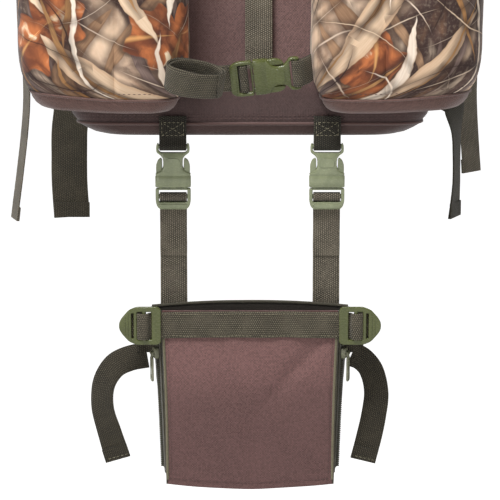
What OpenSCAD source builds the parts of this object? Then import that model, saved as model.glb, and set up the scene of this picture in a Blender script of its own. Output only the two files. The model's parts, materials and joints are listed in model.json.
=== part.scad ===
// Hunting backpack with a gun channel between two front pockets and a drop-down gun boot.
// Millimetres. The origin is the centre of the lumbar pad's face, where the pack rests on
// the wearer's lower back: +Y points to the wearer, -Y to the front pockets, +Z up.

/* [Bag] */
// Width of the main bag
bag_w = 320; // [300:5:330]
// Depth of the main bag, back wall to front wall
bag_d = 170; // [165:1:175]
// Height of the main bag, base to rim
bag_h = 475; // [465:5:485]
// Corner radius of the bag's cross-section
bag_r = 30; // [26:1:34]
// Thickness of the padded fabric walls
wall_t = 3; // [2.5:0.5:3.5]
// Height of the base below the middle of the lumbar pad
base_drop = 90; // [88:1:92]

/* [Pockets] */
// Half width of the gun channel between the pockets
channel_half = 56; // [54:1:60]
// Distance that the pockets stand out in front of the bag
pocket_out = 79; // [76:1:82]
// Half width over both pockets
pocket_half = 208; // [204:1:212]
// Height of each pocket's camouflage shell
pocket_h = 300; // [280:5:310]

/* [Webbing] */
// Width of the narrow webbing
web = 25; // [25:1:25]
// Width of the belt webbing
belt_web = 38; // [38:1:38]
// Thickness of one layer of webbing
web_t = 1.6; // [1.4:0.1:1.7]

/* [Boot] */
// Height of the boot from its base to its mouth
boot_h = 168; // [160:1:175]
// Depth of the boot at its mouth
boot_d = 35; // [32:1:40]
// Half width of the boot's front at the mouth
boot_half = 81; // [80:1:82]
// Half width of the boot's back at the mouth
boot_back_half = 92; // [90:1:92]

/* [Hidden] */
$fn = 48;

// Colours
brown = [0.36, 0.28, 0.27];
camo = [0.62, 0.50, 0.40];
olive_web = [0.27, 0.26, 0.21];
olive_plastic = [0.40, 0.42, 0.27];
dark_mesh = [0.18, 0.17, 0.15];
sheet_grey = [0.5, 0.5, 0.5];

// Places that several pieces share
pad_t = 15;
back_y = -pad_t;
front_y = back_y - bag_d;
base_z = -base_drop;
rim_z = base_z + bag_h;
base_t = 12;                 // thickness of the padded base
seam_z = base_z + base_t;    // seam between the base and the bag
gap = 0.3;                   // left between sewn pieces so that no two solids overlap
layers_t = 2 * web_t;        // two layers of webbing

// Side-release buckle, in its own frame: mouth at z = 0, the socket above it and the plug's frame below it
sleeve_l = 11;
socket_l = 41;
socket_bar_z = 38;
plug_frame_l = 21;
plug_bar_z = -9;
bar_r = 2.2;
eye_r = bar_r + 0.15;        // inner radius of the webbing around a bar
plug_back_y = 1.8;           // back face of the plug's frame
strap_y = 2.0;               // front face of the webbing that leaves the plug

// Ladder lock, in its own frame: centre bar on the Z axis, thumb tab towards +X
lock_tab_x = 23;
lock_bar_x = -15.5;
lock_t = 3.4;
lock_bar_r = 2.0;
lock_eye_r = lock_bar_r + 0.2;

// Zip slider, in its own frame: zip along Z, outward +X, slider centred on z = 0
slider_top = 4.8;
pull_pin_x = 6.6;
pull_l = 27;

// Lid
lid_gap = 5;                 // between the lid's skirt and the bag
lid_t = 3;
lid_hem_z = rim_z - 13;
lid_top_z = rim_z + 40;
lid_hinge_z = 340;
lid_buckle_y = front_y - 12;
lid_mouth_z = 327;           // mouth of the lid's socket
lid_strap_x = 8;
lid_tail_end_z = -27;

// Gun strap, across the channel
gun_mouth = [3.6, -250, -30];
gun_tilt = 6;                // right end up
gun_roll = 16;               // front face turned down

// Boot hanger and boot
hang_x = 71;
hang_y = front_y - 3.4;
hang_mouth_z = -137;
boot_back_y = front_y - 5;
boot_front_y = boot_back_y - boot_d;
boot_top_z = -246;
hang_pivot = [0, front_y - 2, -72]; // where the hanger straps leave the seam
hang_tilt = 4.8;                    // the boot's weight lies in front of its straps, so it hangs tilted
boot_base_z = boot_top_z - boot_h;
boot_low_half = 77;
boot_low_back_half = 80;
boot_wall = 2;
band_z = boot_top_z - 13;
band_y = boot_front_y - 0.3 - web_t / 2;
lock_x = 97.5;
lock_y = band_y - lock_eye_r - web_t / 2;
zip_share = 0.2;             // where the zip runs across the gusset, from front to back
zip_yaw = atan((boot_back_half - boot_half) / boot_d);
zip_lean = 2.0;
boot_slider_drop = 20;       // from the zip's top to the slider

// Belt and shoulder straps
belt_z = -66;
belt_y = 8;
belt_mouth_x = -5;
belt_lock_x = 112;
yoke_z = [300, 335];
yoke_y = -3;
shoulder_x = 62;
shoulder_z = 317;
shoulder_splay = 13.5;

// Routes of straps, each in the plane named beside it
lid_tail_route = [[-194.0, 318], [-194.0, 280], [-193, 200], [-191, 100], [-190, 30], [-190.5, -27]]; // Y, Z
lid_anchor_route = [[-192.5, 318], [-192.3, 290], [-190, 255], [-187, 236], [-186.3, 205]]; // Y, Z
left_tail_route = [[-92, -298], [-112, -297], [-129, -305], [-137, -330], [-134, -360], [-125, -393]]; // X, Z
right_tail_route = [[92, -298], [103, -300], [115, -313], [119, -341], [114, -372], [107, -396]]; // X, Z
left_belt_tail_route = [[-160, -70], [-176, -80], [-184, -102], [-181, -140], [-176, -192]]; // X, Z
right_belt_tail_x = 216;
right_belt_tail_turn = 62;
shoulder_route = [[0, 0], [16, 8], [40, 2], [58, -30], [66, -90], [62, -150], [50, -196]]; // Y, down from the yoke
shoulder_web_route = [[50, -222], [38, -262], [14, -328], [-2, -350]]; // Y, down from the yoke
left_shoulder_tail_route = [[-118, 84], [-160, 88], [-205, 62], [-230, 5], [-231, -90], [-246, -204]]; // X, Z
right_shoulder_tail_route = [[118, 84], [160, 88], [205, 62], [231, 5], [233, -80], [230, -155]]; // X, Z

// ---- Helpers ----

function unit(v) = v / norm(v);
function heading(p, i) = unit(p[min(i + 1, len(p) - 1)] - p[max(i - 1, 0)]);
function beside(p, i, d) = p[i] + d * [-heading(p, i).y, heading(p, i).x];
function outline(p, t) = concat(
    [for (i = [0 : len(p) - 1]) beside(p, i, t / 2)],
    [for (i = [len(p) - 1 : -1 : 0]) beside(p, i, -t / 2)]
);
// Smooth curve through the points of a route, with n steps between neighbours
function spline_at(a, b, c, d, t) =
    0.5 * (2 * b + (c - a) * t + (2 * a - 5 * b + 4 * c - d) * t * t + (3 * b - a - 3 * c + d) * t * t * t);
function smooth(p, n = 5) = concat(
    [for (i = [0 : len(p) - 2], k = [0 : n - 1])
        spline_at(p[max(i - 1, 0)], p[i], p[i + 1], p[min(i + 2, len(p) - 1)], k / n)],
    [p[len(p) - 1]]
);

// A strap whose path lies in the XY, YZ or XZ plane and whose width runs square to it
module strap_xy(p, w, t = web_t) linear_extrude(w, center = true) polygon(outline(p, t));
module strap_yz(p, w, t = web_t) rotate([90, 0, 90]) strap_xy(p, w, t);
module strap_xz(p, w, t = web_t) rotate([90, 0, 0]) strap_xy(p, w, t);
// A strap that bends flat, in its own plane
module flat_strap_xz(p, w, t = web_t) rotate([90, 0, 0]) linear_extrude(t, center = true) polygon(outline(p, w));

module rounded_rect(w, d, r) {
    square([w - 2 * r, d], center = true);
    square([w, d - 2 * r], center = true);
    for (sx = [-1, 1], sy = [-1, 1])
        translate([sx * (w / 2 - r), sy * (d / 2 - r)]) circle(r);
}

// A slab of the bag's cross-section, made smaller all round by an inset
module bag_slab(z, h, inset = 0, side_inset = 0)
    translate([0, (back_y + front_y) / 2, z])
        linear_extrude(h)
            rounded_rect(bag_w - 2 * inset - 2 * side_inset, bag_d - 2 * inset, bag_r - inset / 2);

module both_sides() {
    children();
    mirror([1, 0, 0]) children();
}

module side_mirror(side) mirror([side < 0 ? 1 : 0, 0, 0]) children();

// ---- Side-release buckle ----

module socket_shape(w) {
    full = w / 2 + 4;
    ear = w / 2 + 2.7;
    waist = full - 7.5;
    polygon(concat(
        [[full, 0], [full, sleeve_l], [full - 2.5, 14.5], [waist + 1.2, 17], [waist, 20], [waist, 27],
         [waist + 2, 30.5], [ear, 33.5], [ear, 39.5], [ear - 1.5, socket_l]],
        [[-ear + 1.5, socket_l], [-ear, 39.5], [-ear, 33.5], [-waist - 2, 30.5], [-waist, 27], [-waist, 20],
         [-waist - 1.2, 17], [-full + 2.5, 14.5], [-full, sleeve_l], [-full, 0]]
    ));
}

module socket(w) {
    full = w / 2 + 4;
    difference() {
        rotate([90, 0, 0]) linear_extrude(9, center = true) socket_shape(w);
        translate([0, 0, 8.3]) cube([2 * full - 1.8, 6, 18.8], center = true);
        translate([0, 0, 20]) cube([2 * full - 17.5, 6, 18], center = true);
        translate([0, 0, 38]) cube([w + 1.2, 12, 10.8], center = true);
        for (sy = [-1, 1])
            translate([0, sy * 5.5, 38]) cube([60, 5, 8], center = true);
    }
    translate([0, 0, socket_bar_z]) rotate([0, 90, 0]) cylinder(h = w + 2, r = bar_r, center = true);
}

module plug_arm(w) {
    edge = w / 2 + 3.1;
    polygon([[edge - 5.8, -0.5], [edge - 2.4, -0.5], [edge - 2, 8], [edge - 0.3, 12.5], [edge - 0.3, 21],
             [edge - 1.8, 25.5], [edge - 4.4, 27.5], [edge - 5.6, 26], [edge - 5.6, 8]]);
}

module plug(w) {
    half = w / 2 + 3.8;
    opening = w / 2 + 0.6;
    difference() {
        translate([0, (plug_back_y - 3.2) / 2, 0]) rotate([90, 0, 0])
            linear_extrude(plug_back_y + 3.2, center = true)
                polygon([[half, -0.3], [half, -13], [half - 1.2, -18], [half - 4, -plug_frame_l],
                         [-half + 4, -plug_frame_l], [-half + 1.2, -18], [-half, -13], [-half, -0.3]]);
        translate([0, 0, -8]) cube([2 * opening, 12, 12], center = true);
    }
    translate([0, 0, plug_bar_z]) rotate([0, 90, 0]) cylinder(h = 2 * opening + 1, r = bar_r, center = true);
    translate([-2.5, -2, -1.9]) cube([5, 3.6, 25]);
    for (side = [-1, 1])
        side_mirror(side) rotate([90, 0, 0]) linear_extrude(3.8, center = true) plug_arm(w);
}

// Webbing round the socket's bar and on up, in the YZ plane: two layers, one bar's eye
module socket_webbing(w, route) {
    difference() {
        union() {
            translate([0, 0, socket_bar_z]) rotate([0, 90, 0]) cylinder(h = w, r = eye_r + web_t, center = true);
            strap_yz(route, w, layers_t);
        }
        translate([0, 0, socket_bar_z]) rotate([0, 90, 0]) cylinder(h = w + 2, r = eye_r, center = true);
    }
}

// Webbing round the plug's bar and away behind its frame, in the YZ plane
module plug_webbing(w, route, t = layers_t) {
    difference() {
        union() {
            translate([0, 0, plug_bar_z]) rotate([0, 90, 0]) cylinder(h = w, r = eye_r + web_t, center = true);
            strap_yz(route, w, t);
        }
        translate([0, 0, plug_bar_z]) rotate([0, 90, 0]) cylinder(h = w + 2, r = eye_r, center = true);
    }
}

// ---- Ladder lock ----

module ladder_lock(w) {
    half = w / 2 + 5.5;
    difference() {
        rotate([90, 0, 0]) linear_extrude(lock_t, center = true)
            polygon([[lock_bar_x + 2.5, -half], [7, -half], [14, -half + 3.5], [20.5, -half / 2.6], [lock_tab_x, -3],
                     [lock_tab_x, 3], [20.5, half / 2.6], [14, half - 3.5], [7, half], [lock_bar_x + 2.5, half],
                     [lock_bar_x, half - 2.5], [lock_bar_x, -half + 2.5]]);
        translate([-0.25, 0, 0]) cube([13.5, 10, w + 1.4], center = true);
        translate([10.5, 0, 0]) cube([2, 10, w - 1], center = true);
    }
    cylinder(h = w + 3, r = lock_bar_r, center = true);
}

// Webbing round the lock's centre bar, with a tangent strap along its back towards -X
module lock_eye(w) difference() {
    cylinder(h = w, r = lock_eye_r + web_t, center = true);
    cylinder(h = w + 2, r = lock_eye_r, center = true);
}

// ---- Zip ----

module zip_chain(length) translate([0, 0, -length / 2]) {
    translate([0.5, 0, 0]) cube([1, 13, length], center = true);
    translate([1.9, 0, 0]) cube([1.8, 5, length], center = true);
}

module zip_slider() {
    difference() {
        translate([1.3, -4.5, -5]) cube([slider_top - 1.3, 9, 10]);
        translate([0, -2.9, -6]) cube([3.1, 5.8, 12]);
    }
    for (sy = [-1, 1])
        translate([slider_top - 0.2, sy * 2.9 - 0.6, -1.2]) cube([2.8, 1.2, 2.4]);
    translate([pull_pin_x, 0, 0]) rotate([90, 0, 0]) cylinder(h = 7, r = 0.8, center = true, $fn = 24);
}

module zip_pull() {
    difference() {
        union() {
            rotate([90, 0, 0]) cylinder(h = 3.8, r = 1.7, center = true, $fn = 24);
            translate([-0.8, -1.9, -4.5]) cube([1.6, 3.8, 4.5]);
            translate([-0.8, -3.75, -pull_l + 3.75]) cube([1.6, 7.5, pull_l - 3.75 - 3.5]);
            translate([0, 0, -pull_l + 3.75]) rotate([0, 90, 0]) cylinder(h = 1.6, r = 3.75, center = true);
        }
        rotate([90, 0, 0]) cylinder(h = 8, r = 0.95, center = true, $fn = 24);
        translate([0, 0, -pull_l + 4.2]) rotate([0, 90, 0]) cylinder(h = 5, r = 2.1, center = true, $fn = 24);
    }
}

// ---- Bag ----

module main_bag() color(brown) difference() {
    union() {
        hull() {
            bag_slab(seam_z, 0.5, 2, 16);
            bag_slab(seam_z + 36, 0.5);
        }
        bag_slab(seam_z + 36, rim_z - seam_z - 36);
    }
    hull() {
        bag_slab(seam_z + wall_t, 0.5, 2 + wall_t, 16);
        bag_slab(seam_z + 36, 0.5, wall_t);
    }
    bag_slab(seam_z + 36, rim_z - seam_z, wall_t);
}

module rim_binding() color(olive_web) difference() {
    bag_slab(rim_z - 16, 16, -web_t);
    bag_slab(rim_z - 17, 18, -gap / 2);
}

module base_panel() color(brown) hull() {
    bag_slab(base_z, 0.5, 9, 28);
    bag_slab(seam_z - 0.5 - gap / 2, 0.5, 2, 16);
}

module frame_sheet() color(sheet_grey)
    translate([0, back_y - wall_t - 1.2, 152]) rotate([90, 0, 0])
        linear_extrude(1.6, center = true) rounded_rect(250, 376, 30);

module back_pads() color(dark_mesh) both_sides()
    translate([62, back_y / 2 - gap / 4, 172]) rotate([90, 0, 0])
        linear_extrude(pad_t - gap / 2, center = true) rounded_rect(96, 224, 26);

module lumbar_pad() color(dark_mesh)
    translate([0, back_y / 2 - gap / 4 + gap / 4, 0]) rotate([90, 0, 0])
        linear_extrude(pad_t, center = true) rounded_rect(240, 90, 26);

module yoke() color(brown)
    translate([-95, back_y + gap, yoke_z[0]]) cube([190, yoke_y - back_y - gap, yoke_z[1] - yoke_z[0]]);

module haul_loop() color(olive_web)
    translate([0, yoke_y + gap + web_t / 2, (yoke_z[0] + yoke_z[1]) / 2])
        strap_xy(smooth([[-24, 0], [-16, 2], [-17, 14], [-12, 27], [0, 31], [12, 27], [17, 14], [16, 2], [24, 0]]), web, web_t);

// ---- Pockets ----

// The right pocket's outline at height z, drawn in by an inset and closed inside the bag
module pocket_slab(z, inset) translate([0, 0, z]) linear_extrude(0.5)
    polygon([
        [channel_half + inset, front_y + 25], [channel_half + inset, front_y - pocket_out + 24 + inset],
        [channel_half + 9 + inset, front_y - pocket_out + 7 + inset], [88, front_y - pocket_out + inset],
        [172, front_y - pocket_out + inset], [pocket_half - 9 - inset, front_y - pocket_out + 14 + inset],
        [pocket_half - inset, front_y - pocket_out + 38 + inset], [pocket_half - inset, front_y + 20 - inset / 2],
        [pocket_half - 12 - inset, front_y + 44 - inset], [140, front_y + 62 - inset]
    ]);

pocket_base_z = base_z + 40;
module pocket_body(inset) hull() {
    pocket_slab(pocket_base_z + inset, 10 + inset);
    pocket_slab(pocket_base_z + 24, inset);
    pocket_slab(pocket_base_z + pocket_h - 30, inset);
    pocket_slab(pocket_base_z + pocket_h - 0.5 - inset, 16 + inset);
}

module outside_bag() difference() {
    children();
    bag_slab(base_z - 20, bag_h + 40, -gap);
}

module pocket_shell() color(camo) outside_bag() difference() {
    pocket_body(0);
    pocket_body(2.5);
}

module pocket_base() color(brown) outside_bag() hull() {
    pocket_slab(pocket_base_z - 0.5 - gap, 10);
    pocket_slab(pocket_base_z - 13, 16);
}

module at_pocket_zip() translate([130, front_y - pocket_out - gap, pocket_base_z + pocket_h - 46])
    rotate([0, 0, -90]) rotate([90, 0, 0]) children();

pocket_zip_l = 84;
module pocket_zip_right() color(olive_web) at_pocket_zip() translate([0, 0, pocket_zip_l / 2]) zip_chain(pocket_zip_l);

// The pull hangs down while its slider runs sideways, so it turns on a pin that lies along the zip
module pocket_slider(side) color(olive_plastic) side_mirror(side)
    at_pocket_zip() translate([0, 0, pocket_slider_at()]) {
        difference() {
            translate([1.3, -4.5, -5]) cube([slider_top - 1.3, 9, 10]);
            translate([0, -2.9, -6]) cube([3.1, 5.8, 12]);
        }
        for (sz = [-1, 1])
            translate([slider_top - 0.2, -1.2, sz * 2.9 - 0.6]) cube([2.8, 2.4, 1.2]);
        translate([pull_pin_x, 0, 0]) cylinder(h = 7, r = 0.8, center = true, $fn = 24);
    }
function pocket_slider_at() = pocket_zip_l / 2 - 8;

module pocket_pull(side) color(olive_plastic) side_mirror(side)
    at_pocket_zip() translate([pull_pin_x, 0, pocket_slider_at()]) rotate([-90, 0, 0]) zip_pull();

// ---- Lid ----

module lid_slab(z, h, out, drop = 0) bag_slab(z, h, -out, 0);

module lid_hood() color(camo) {
    difference() {
        hull() {
            lid_slab(lid_hem_z, 0.5, lid_gap + lid_t);
            lid_slab(lid_top_z - 16, 0.5, lid_gap + lid_t - 3);
            lid_slab(lid_top_z - 0.5, 0.5, -14);
        }
        hull() {
            lid_slab(lid_hem_z - 1, 0.5, lid_gap);
            lid_slab(lid_top_z - 18, 0.5, lid_gap - 3);
            lid_slab(lid_top_z - 4, 0.5, -14);
        }
    }
    translate([-120, back_y + 1.8, lid_hinge_z]) cube([240, lid_t, lid_hem_z - lid_hinge_z + 0.5]);
    translate([-120, back_y + 1.8, lid_hem_z]) cube([240, lid_gap + lid_t - 1.8, lid_t]);
}

module at_lid_buckle() translate([lid_strap_x, lid_buckle_y, lid_mouth_z]) children();

module lid_socket() color(olive_plastic) at_lid_buckle() socket(web);
module lid_plug() color(olive_plastic) at_lid_buckle() plug(web);

module lid_upper_strap() color(olive_web) at_lid_buckle()
    socket_webbing(web, [[0, socket_bar_z], [0, socket_bar_z + 5], [-2.4, socket_bar_z + 10],
                         [-3.2, socket_bar_z + 18], [-3.2, socket_bar_z + 34]]);

module lid_lower_strap() color(olive_web) {
    difference() {
        union() {
            translate([lid_strap_x, lid_buckle_y, lid_mouth_z + plug_bar_z])
                rotate([0, 90, 0]) cylinder(h = web, r = eye_r + web_t, center = true);
            translate([lid_strap_x, 0, 0]) strap_yz(smooth(lid_tail_route), web);
            translate([lid_strap_x, 0, 0]) strap_yz(smooth(lid_anchor_route), web);
        }
        translate([lid_strap_x, lid_buckle_y, lid_mouth_z + plug_bar_z])
            rotate([0, 90, 0]) cylinder(h = web + 2, r = eye_r, center = true);
    }
    translate([lid_strap_x, -191.5, lid_tail_end_z + 6]) cube([web, web_t + 1, 12], center = true);
}

// ---- Gun strap ----

// Turns the buckle's frame so that the socket lies to the right and the webbing's width stands up
module at_gun_buckle() translate(gun_mouth) rotate([0, -gun_tilt, 0]) rotate([gun_roll, 0, 0])
    rotate([0, 90, 0]) children();

module gun_socket() color(olive_plastic) at_gun_buckle() socket(web);
module gun_plug() color(olive_plastic) at_gun_buckle() plug(web);
module gun_strap_right() color(olive_web) at_gun_buckle()
    socket_webbing(web, [[0, socket_bar_z], [0, socket_bar_z + 4], [3, socket_bar_z + 8], [8, socket_bar_z + 12.2]]);
module gun_strap_left() color(olive_web) at_gun_buckle()
    plug_webbing(web, [[strap_y + web_t / 2, plug_bar_z], [strap_y + web_t / 2, -21], [strap_y + 2, -34],
                       [strap_y + 4, -44], [strap_y + 8, -52.5]], web_t);

// The strap's spare end, rolled into a coil that leans forward over the left pocket's corner
coil_middle = [-49, -280.5, -29];
coil_half_w = 27;
coil_half_d = 14;
coil_lean = 28;
coil_tilt = 9;
module coil_oval(shrink) scale([(coil_half_w - shrink) / 10, (coil_half_d - shrink) / 10]) circle(10, $fn = 40);
module gun_strap_coil() color(olive_web)
    translate(coil_middle) rotate([0, coil_tilt, 0]) rotate([coil_lean, 0, 0]) difference() {
        linear_extrude(web, center = true) coil_oval(0);
        linear_extrude(web + 2, center = true) coil_oval(2 * web_t);
    }

// ---- Boot hanger ----

module hanging() translate(hang_pivot) rotate([hang_tilt, 0, 0]) translate(-hang_pivot) children();
module at_boot_buckle(side) translate([side * hang_x, hang_y, hang_mouth_z]) children();
module boot_socket(side) color(olive_plastic) at_boot_buckle(side) socket(web);
module boot_plug(side) color(olive_plastic) at_boot_buckle(side) plug(web);

module hanger_straps() color(olive_web) for (side = [-1, 1]) {
    at_boot_buckle(side)
        socket_webbing(web, [[0, socket_bar_z], [0, socket_bar_z + 10],
                             [hang_pivot.y - hang_y, hang_pivot.z - hang_mouth_z]]);
    translate([side * hang_x, hang_pivot.y, hang_pivot.z])
        rotate([0, 90, 0]) cylinder(h = web, r = web_t, center = true);
}

// From the plug's bar down behind the boot's back panel, where the webbing is sewn on
module boot_straps() color(olive_web) for (side = [-1, 1]) at_boot_buckle(side)
    plug_webbing(web, [[strap_y + web_t, plug_bar_z], [strap_y + web_t, -60], [2, -86], [0.3, -107],
                       [0.3, boot_base_z + 14 - hang_mouth_z]]);

// ---- Boot ----

module boot_face(half_top, half_low, y, t) translate([0, y, 0]) rotate([90, 0, 0])
    linear_extrude(t) polygon([[-half_top, boot_top_z], [half_top, boot_top_z],
                               [half_low, boot_base_z], [-half_low, boot_base_z]]);

module boot_pouch() color(brown) {
    boot_face(boot_back_half, boot_low_back_half, boot_back_y, boot_wall);
    boot_face(boot_half, boot_low_half, boot_front_y + boot_wall, boot_wall);
    translate([0, 0, boot_base_z]) linear_extrude(boot_wall)
        polygon([[-boot_low_back_half, boot_back_y - 1], [boot_low_back_half, boot_back_y - 1],
                 [boot_low_half, boot_front_y + 1], [-boot_low_half, boot_front_y + 1]]);
}

module boot_gusset() {
    s = 1.6;
    y0 = boot_back_y - boot_wall - gap - s;
    y1 = boot_front_y + boot_wall + gap;
    hull() {
        translate([boot_back_half - s, y0, boot_top_z - s]) cube(s);
        translate([boot_half - s, y1, boot_top_z - s]) cube(s);
        translate([boot_low_back_half - s, y0, boot_base_z + boot_wall + gap]) cube(s);
        translate([boot_low_half - s, y1, boot_base_z + boot_wall + gap]) cube(s);
    }
}
module boot_gussets() color(olive_web) both_sides() boot_gusset();

zip_top_x = boot_half + zip_share * (boot_back_half - boot_half);
zip_y = boot_front_y + zip_share * boot_d + 1;
module at_boot_zip() translate([zip_top_x + 2.2, zip_y, boot_top_z - 22])
    rotate([0, 0, -zip_yaw]) rotate([0, zip_lean, 0]) children();

boot_zip_l = 132;
module boot_zips() color(olive_web) both_sides() at_boot_zip() zip_chain(boot_zip_l);

module boot_slider(side) color(olive_plastic) side_mirror(side)
    at_boot_zip() translate([0, 0, -boot_slider_drop]) zip_slider();
module boot_pull(side) color(olive_plastic) side_mirror(side)
    at_boot_zip() translate([pull_pin_x, 0, -boot_slider_drop]) rotate([0, -zip_lean, 0]) zip_pull();

module boot_piping() color(olive_web) both_sides()
    translate([boot_half + 1.0, boot_front_y - 0.6, band_z - 20.5]) rotate([0, 1.5, 0])
        mirror([0, 0, 1]) cylinder(h = boot_h - 36.5, r = 1.3, $fn = 24);

module boot_band() color(olive_web) translate([0, 0, band_z]) {
    translate([0, band_y, 0]) cube([2 * lock_x, web_t, web], center = true);
    for (side = [-1, 1])
        translate([side * lock_x, lock_y, 0]) difference() {
            lock_eye(web);
            translate([-side * 10, lock_eye_r + web_t + 4.6, 0]) cube([12, 6, web + 2], center = true);
        }
}

module ladder_lock_at(side) color(olive_plastic)
    translate([side * lock_x, lock_y, band_z]) side_mirror(side) ladder_lock(web);

// The band's free ends: back past the gusset, folded down, and out to hang beside the boot
module boot_tail(side, route) {
    tail_y = boot_back_y - 12;
    x0 = side * (lock_x + lock_eye_r + web_t / 2 - 0.5);
    translate([0, 0, band_z])
        strap_xy([[x0 + side * 0.5, lock_y + 3.9], [x0, lock_y + 12], [x0 - side * 2, tail_y - web_t / 2 - gap]], web);
    translate([side * 97, tail_y, (band_z + route[0].y) / 2])
        cube([12, web_t, band_z - route[0].y + web], center = true);
    translate([0, tail_y, 0]) flat_strap_xz(smooth(route), 22);
}
module boot_tails() color(olive_web) {
    boot_tail(-1, left_tail_route);
    boot_tail(1, right_tail_route);
}

// ---- Belt ----

// Each wing holds its ladder lock with a loop of webbing round the lock's inner bar
module belt_wings() color(brown) both_sides() {
    translate([124, back_y + gap, -86]) cube([34, 12, 58]);
    translate([0, 0, belt_z])
        strap_xy([[138, back_y + 12], [132, belt_y - 2.5], [129, belt_y - 2.8], [117.5, belt_y - 2.8], [117.5, belt_y + 2.8],
                  [129, belt_y + 2.8], [133, belt_y + 2.5], [142, back_y + 12]], belt_web - 2, 1.2);
}

// Turns the buckle's frame so that the socket lies to the right and the webbing's width stands up
module at_belt_buckle() translate([belt_mouth_x, belt_y, belt_z]) rotate([0, 90, 0]) children();
module belt_socket() color(olive_plastic) at_belt_buckle() socket(belt_web);
module belt_plug() color(olive_plastic) at_belt_buckle() plug(belt_web);

module belt_strap_right() color(olive_web) {
    at_belt_buckle() socket_webbing(belt_web, [[0, socket_bar_z], [0, socket_bar_z + 6], [lock_eye_r + 0.8, socket_bar_z + 20],
                                               [lock_eye_r + 0.8, socket_bar_z + 36]]);
    translate([belt_lock_x, belt_y, belt_z]) {
        lock_eye(belt_web);
        translate([-34, lock_eye_r + web_t / 2, 0]) cube([68, web_t, belt_web], center = true);
    }
}

module belt_strap_left() color(olive_web) {
    at_belt_buckle() plug_webbing(belt_web, [[strap_y + web_t, plug_bar_z], [strap_y + web_t, -42]]);
    translate([-belt_lock_x, belt_y, belt_z]) {
        lock_eye(belt_web);
        translate([36, lock_eye_r + web_t / 2, 0]) cube([72, web_t, belt_web], center = true);
    }
}

module belt_locks() color(olive_plastic) both_sides()
    translate([belt_lock_x, belt_y, belt_z]) mirror([1, 0, 0]) ladder_lock(belt_web);

module belt_tails() color(olive_web) {
    for (side = [-1, 1])
        translate([0, 0, belt_z])
            strap_xy(smooth([[side * (belt_lock_x + 1.5), belt_y + 4.9], [side * 128, belt_y + 5.4], [side * 146, belt_y + 6],
                             [side * 166, belt_y + 3.8]]), belt_web);
    translate([0, belt_y + 3, 0]) flat_strap_xz(smooth(left_belt_tail_route), belt_web);
    translate([0, belt_y + 3, 0]) flat_strap_xz(smooth([[160, -68], [184, -70], [206, -84], [216, -104]]), belt_web - 8);
    translate([right_belt_tail_x, belt_y + 3, -142]) rotate([0, 0, right_belt_tail_turn])
        cube([belt_web, web_t, 100], center = true);
}

// ---- Shoulder straps ----

module at_shoulder(side) side_mirror(side)
    translate([shoulder_x, yoke_y + 1.2, shoulder_z]) rotate([0, -shoulder_splay, 0]) children();

// The pad's upper end is cut back on both sides, so that it clears the yoke as the strap swings
module shoulder_pad(side) color(brown) at_shoulder(side) difference() {
    translate([0, 7, 0]) strap_yz(smooth(shoulder_route), 62, 12);
    translate([0, -50, 0]) cube([200, 100, 60], center = true);
    for (end = [-1, 1])
        translate([end * 4, 0, 0]) rotate([0, 0, end * 32]) translate([end * 30, -20, 0]) cube([60, 40, 60], center = true);
}

lock_at = [0, 56.4, -218];   // the lock's centre bar, from the yoke
module at_shoulder_lock() translate(lock_at) rotate([-12, 0, 0]) children();

module shoulder_lock(side) color(olive_plastic) at_shoulder(side)
    at_shoulder_lock() rotate([0, 90, 0]) ladder_lock(web);

// Webbing from the wing to the lock's centre bar and its hanging tail, and the loop that holds the lock to the pad
module shoulder_strap(side, tail_route) color(olive_web) {
    at_shoulder(side) {
        difference() {
            union() {
                translate(lock_at) rotate([0, 90, 0]) cylinder(h = web, r = lock_eye_r + web_t, center = true);
                strap_yz(smooth(concat([[lock_at.y - 3, lock_at.z]], shoulder_web_route)), web);
                strap_yz([[lock_at.y + 3, lock_at.z], [lock_at.y + 6, -228], [lock_at.y + 10, -246]], web);
            }
            translate(lock_at) rotate([0, 90, 0]) cylinder(h = web + 2, r = lock_eye_r, center = true);
        }
        at_shoulder_lock()
            strap_yz([[-2.6, 20.4], [-2.8, 16], [-2.8, 5.4], [2.8, 5.4], [2.8, 16], [2.2, 20.4]], web - 1, 1.2);
    }
    translate([0, yoke_y + 1.2 + lock_at.y + 10, 0]) strap_xz(smooth(tail_route), web);
}

// ---- The part ----

main_bag();
rim_binding();
base_panel();
frame_sheet();
back_pads();
lumbar_pad();
yoke();
haul_loop();
side_mirror(-1) pocket_shell();  // pocket_left
pocket_shell();  // pocket_right
both_sides() pocket_base();  // pocket_bases
both_sides() pocket_zip_right();  // pocket_zips
lid_lower_strap();
lid_plug();
gun_strap_right();
gun_socket();
belt_wings();
belt_strap_right();
belt_socket();
belt_locks();
belt_tails();
lid_hood();
lid_upper_strap();
lid_socket();
pocket_slider(-1);  // pocket_slider_left
pocket_slider(1);  // pocket_slider_right
pocket_pull(-1);  // pocket_pull_left
pocket_pull(1);  // pocket_pull_right
gun_plug();
gun_strap_coil();
gun_strap_left();
hanging() hanger_straps();
hanging() boot_socket(-1);  // boot_socket_left
hanging() boot_socket(1);  // boot_socket_right
hanging() boot_straps();
hanging() boot_plug(-1);  // boot_plug_left
hanging() boot_plug(1);  // boot_plug_right
hanging() boot_pouch();
hanging() boot_gussets();
hanging() boot_zips();
hanging() boot_piping();
hanging() boot_band();
hanging() boot_tails();
hanging() boot_slider(-1);  // boot_slider_left
hanging() boot_slider(1);  // boot_slider_right
hanging() boot_pull(-1);  // boot_pull_left
hanging() boot_pull(1);  // boot_pull_right
hanging() ladder_lock_at(-1);  // ladder_lock_left
hanging() ladder_lock_at(1);  // ladder_lock_right
shoulder_pad(-1);  // shoulder_pad_left
shoulder_pad(1);  // shoulder_pad_right
shoulder_strap(-1, left_shoulder_tail_route);  // shoulder_strap_left
shoulder_strap(1, right_shoulder_tail_route);  // shoulder_strap_right
shoulder_lock(-1);  // shoulder_lock_left
shoulder_lock(1);  // shoulder_lock_right
belt_plug();
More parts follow.
